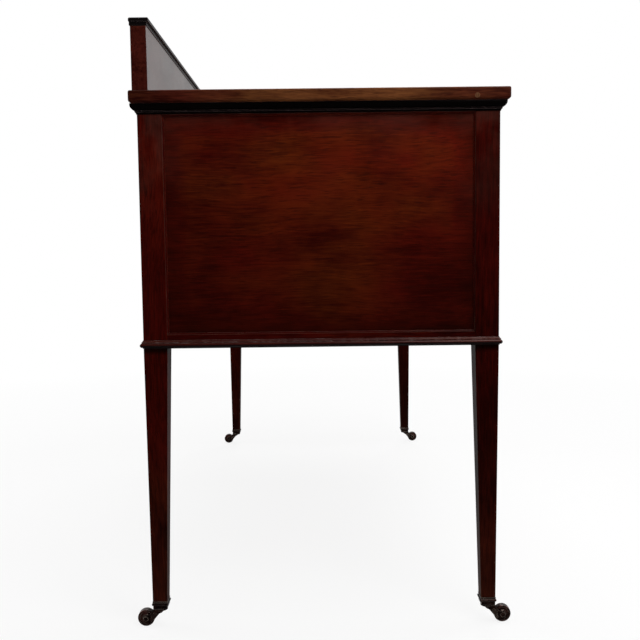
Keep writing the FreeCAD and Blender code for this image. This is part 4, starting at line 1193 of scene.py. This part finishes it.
@dataclass
class Studio:
    """A white floor, a white surround, soft lamps and the camera."""

    surround: float = 0.06
    reflected: float = 0.51
    floor_half: float = 20.0
    floor_near: float = 0.9
    floor_far: float = 2.2
    floor_glow: float = 0.86
    floor_colour: Colour = (0.6, 0.6, 0.6)
    floor_roughness: float = 0.8
    floor_reflection: float = 0.1
    camera_place: Triple = (-1.7830, 0.0052, 0.5449)
    yaw: float = -0.0031
    pitch: float = 0.08425
    roll: float = -0.0115
    lens: float = 47.71
    sensor: float = 36.0
    lamps: tuple[Lamp, ...] = (
        Lamp("end_lamp", place=(-1.15, -0.45, 1.25), watts=10.0, aim=(-0.6, -0.05, 0.6), size=0.5),
        Lamp("overhead_lamp", place=(-0.3, -0.2, 2.4), watts=40.0, aim=(-0.2, 0.0, 0.7)),
        Lamp("front_lamp", place=(0.3, -2.6, 1.6), watts=45.0),
        Lamp("back_lamp", place=(0.3, 2.6, 1.5), watts=45.0),
        Lamp("right_lamp", place=(2.2, -0.3, 2.9), watts=60.0, size=1.4),
    )

    def sight(self, nodes: Nodes) -> tuple[Socket, Socket]:
        """What looks at a white surface.

        Args:
            nodes: the material's or the world's nodes.

        Returns:
            1 where the camera sees it straight, in a gloss or through glass, else 0, and how white
            it then looks.
        """
        path = nodes.add("ShaderNodeLightPath").outputs
        mirrored = nodes.sum("ADD", path["Is Glossy Ray"], path["Is Transmission Ray"], clamp=True)
        seen = nodes.sum("ADD", path["Is Camera Ray"], mirrored, clamp=True)
        return seen, nodes.spread(mirrored, 0.0, 1.0, 1.0, self.reflected)

    def build_world(self) -> None:
        """White to look at, and dimmer as a lamp."""
        world = bpy.data.worlds.new("surround")
        bpy.context.scene.world = world
        world.use_nodes = True
        world.node_tree.nodes.clear()
        nodes = Nodes(world.node_tree)
        seen, white = self.sight(nodes)
        strength = nodes.spread(seen, 0.0, 1.0, self.surround, white)
        background = nodes.add("ShaderNodeBackground", {"Color": WHITE, "Strength": strength})
        nodes.add("ShaderNodeOutputWorld", {"Surface": background.outputs[0]})

    def build_floor(self) -> None:
        """A wide pale floor that keeps the table's shadow."""
        shape = bmesh.new()
        bmesh.ops.create_grid(shape, x_segments=1, y_segments=1, size=self.floor_half)
        mesh = bpy.data.meshes.new("floor")
        shape.to_mesh(mesh)
        shape.free()
        floor = add_object("floor", mesh)
        material, nodes, shader = start_material("floor_paper", {
            "Base Color": self.floor_colour, "Roughness": self.floor_roughness,
            "Specular IOR Level": self.floor_reflection})
        seen, white = self.sight(nodes)
        glow = nodes.add("ShaderNodeEmission", {"Color": WHITE, "Strength": white})
        away = nodes.add("ShaderNodeVectorMath", {0: Ground(nodes).here},
                         operation="LENGTH").outputs["Value"]
        share = nodes.product(
            seen, nodes.spread(away, self.floor_near, self.floor_far, self.floor_glow, 1.0))
        lit = shader.outputs[0]
        surface = lit.links[0].to_socket
        mixed = nodes.add("ShaderNodeMixShader", {0: share, 1: lit, 2: glow.outputs[0]})
        nodes.feed(surface, mixed.outputs[0])
        mesh.materials.append(material)

    def build_camera(self) -> None:
        """The photograph's viewpoint."""
        forward = Vector((math.cos(self.yaw) * math.cos(self.pitch),
                          math.sin(self.yaw) * math.cos(self.pitch), -math.sin(self.pitch)))
        right = Vector((math.sin(self.yaw), -math.cos(self.yaw), 0.0))
        up = right.cross(forward)
        side = right * math.cos(self.roll) + up * math.sin(self.roll)
        head = up * math.cos(self.roll) - right * math.sin(self.roll)
        data = bpy.data.cameras.new("camera")
        data.lens = self.lens
        data.sensor_width = self.sensor
        camera = add_object("camera", data)
        turn = Matrix((side, head, -forward)).transposed()
        camera.matrix_world = Matrix.Translation(self.camera_place) @ turn.to_4x4()
        bpy.context.scene.camera = camera

    def build(self) -> None:
        """Sets up everything round the table."""
        bpy.context.scene.view_settings.view_transform = "Standard"
        self.build_world()
        self.build_floor()
        for lamp in self.lamps:
            lamp.build()
        self.build_camera()


def main() -> None:
    """Builds and dresses the table, part by part."""
    logging.basicConfig(level=logging.INFO, format="%(message)s")
    for part in (Carcass(), Top(), Drawers(), Castors()):
        part.dress()
        LOG.info("dressed: %s", type(part).__name__)
    Studio().build()
    LOG.info("studio built")


if __name__ == "__main__":
    main()
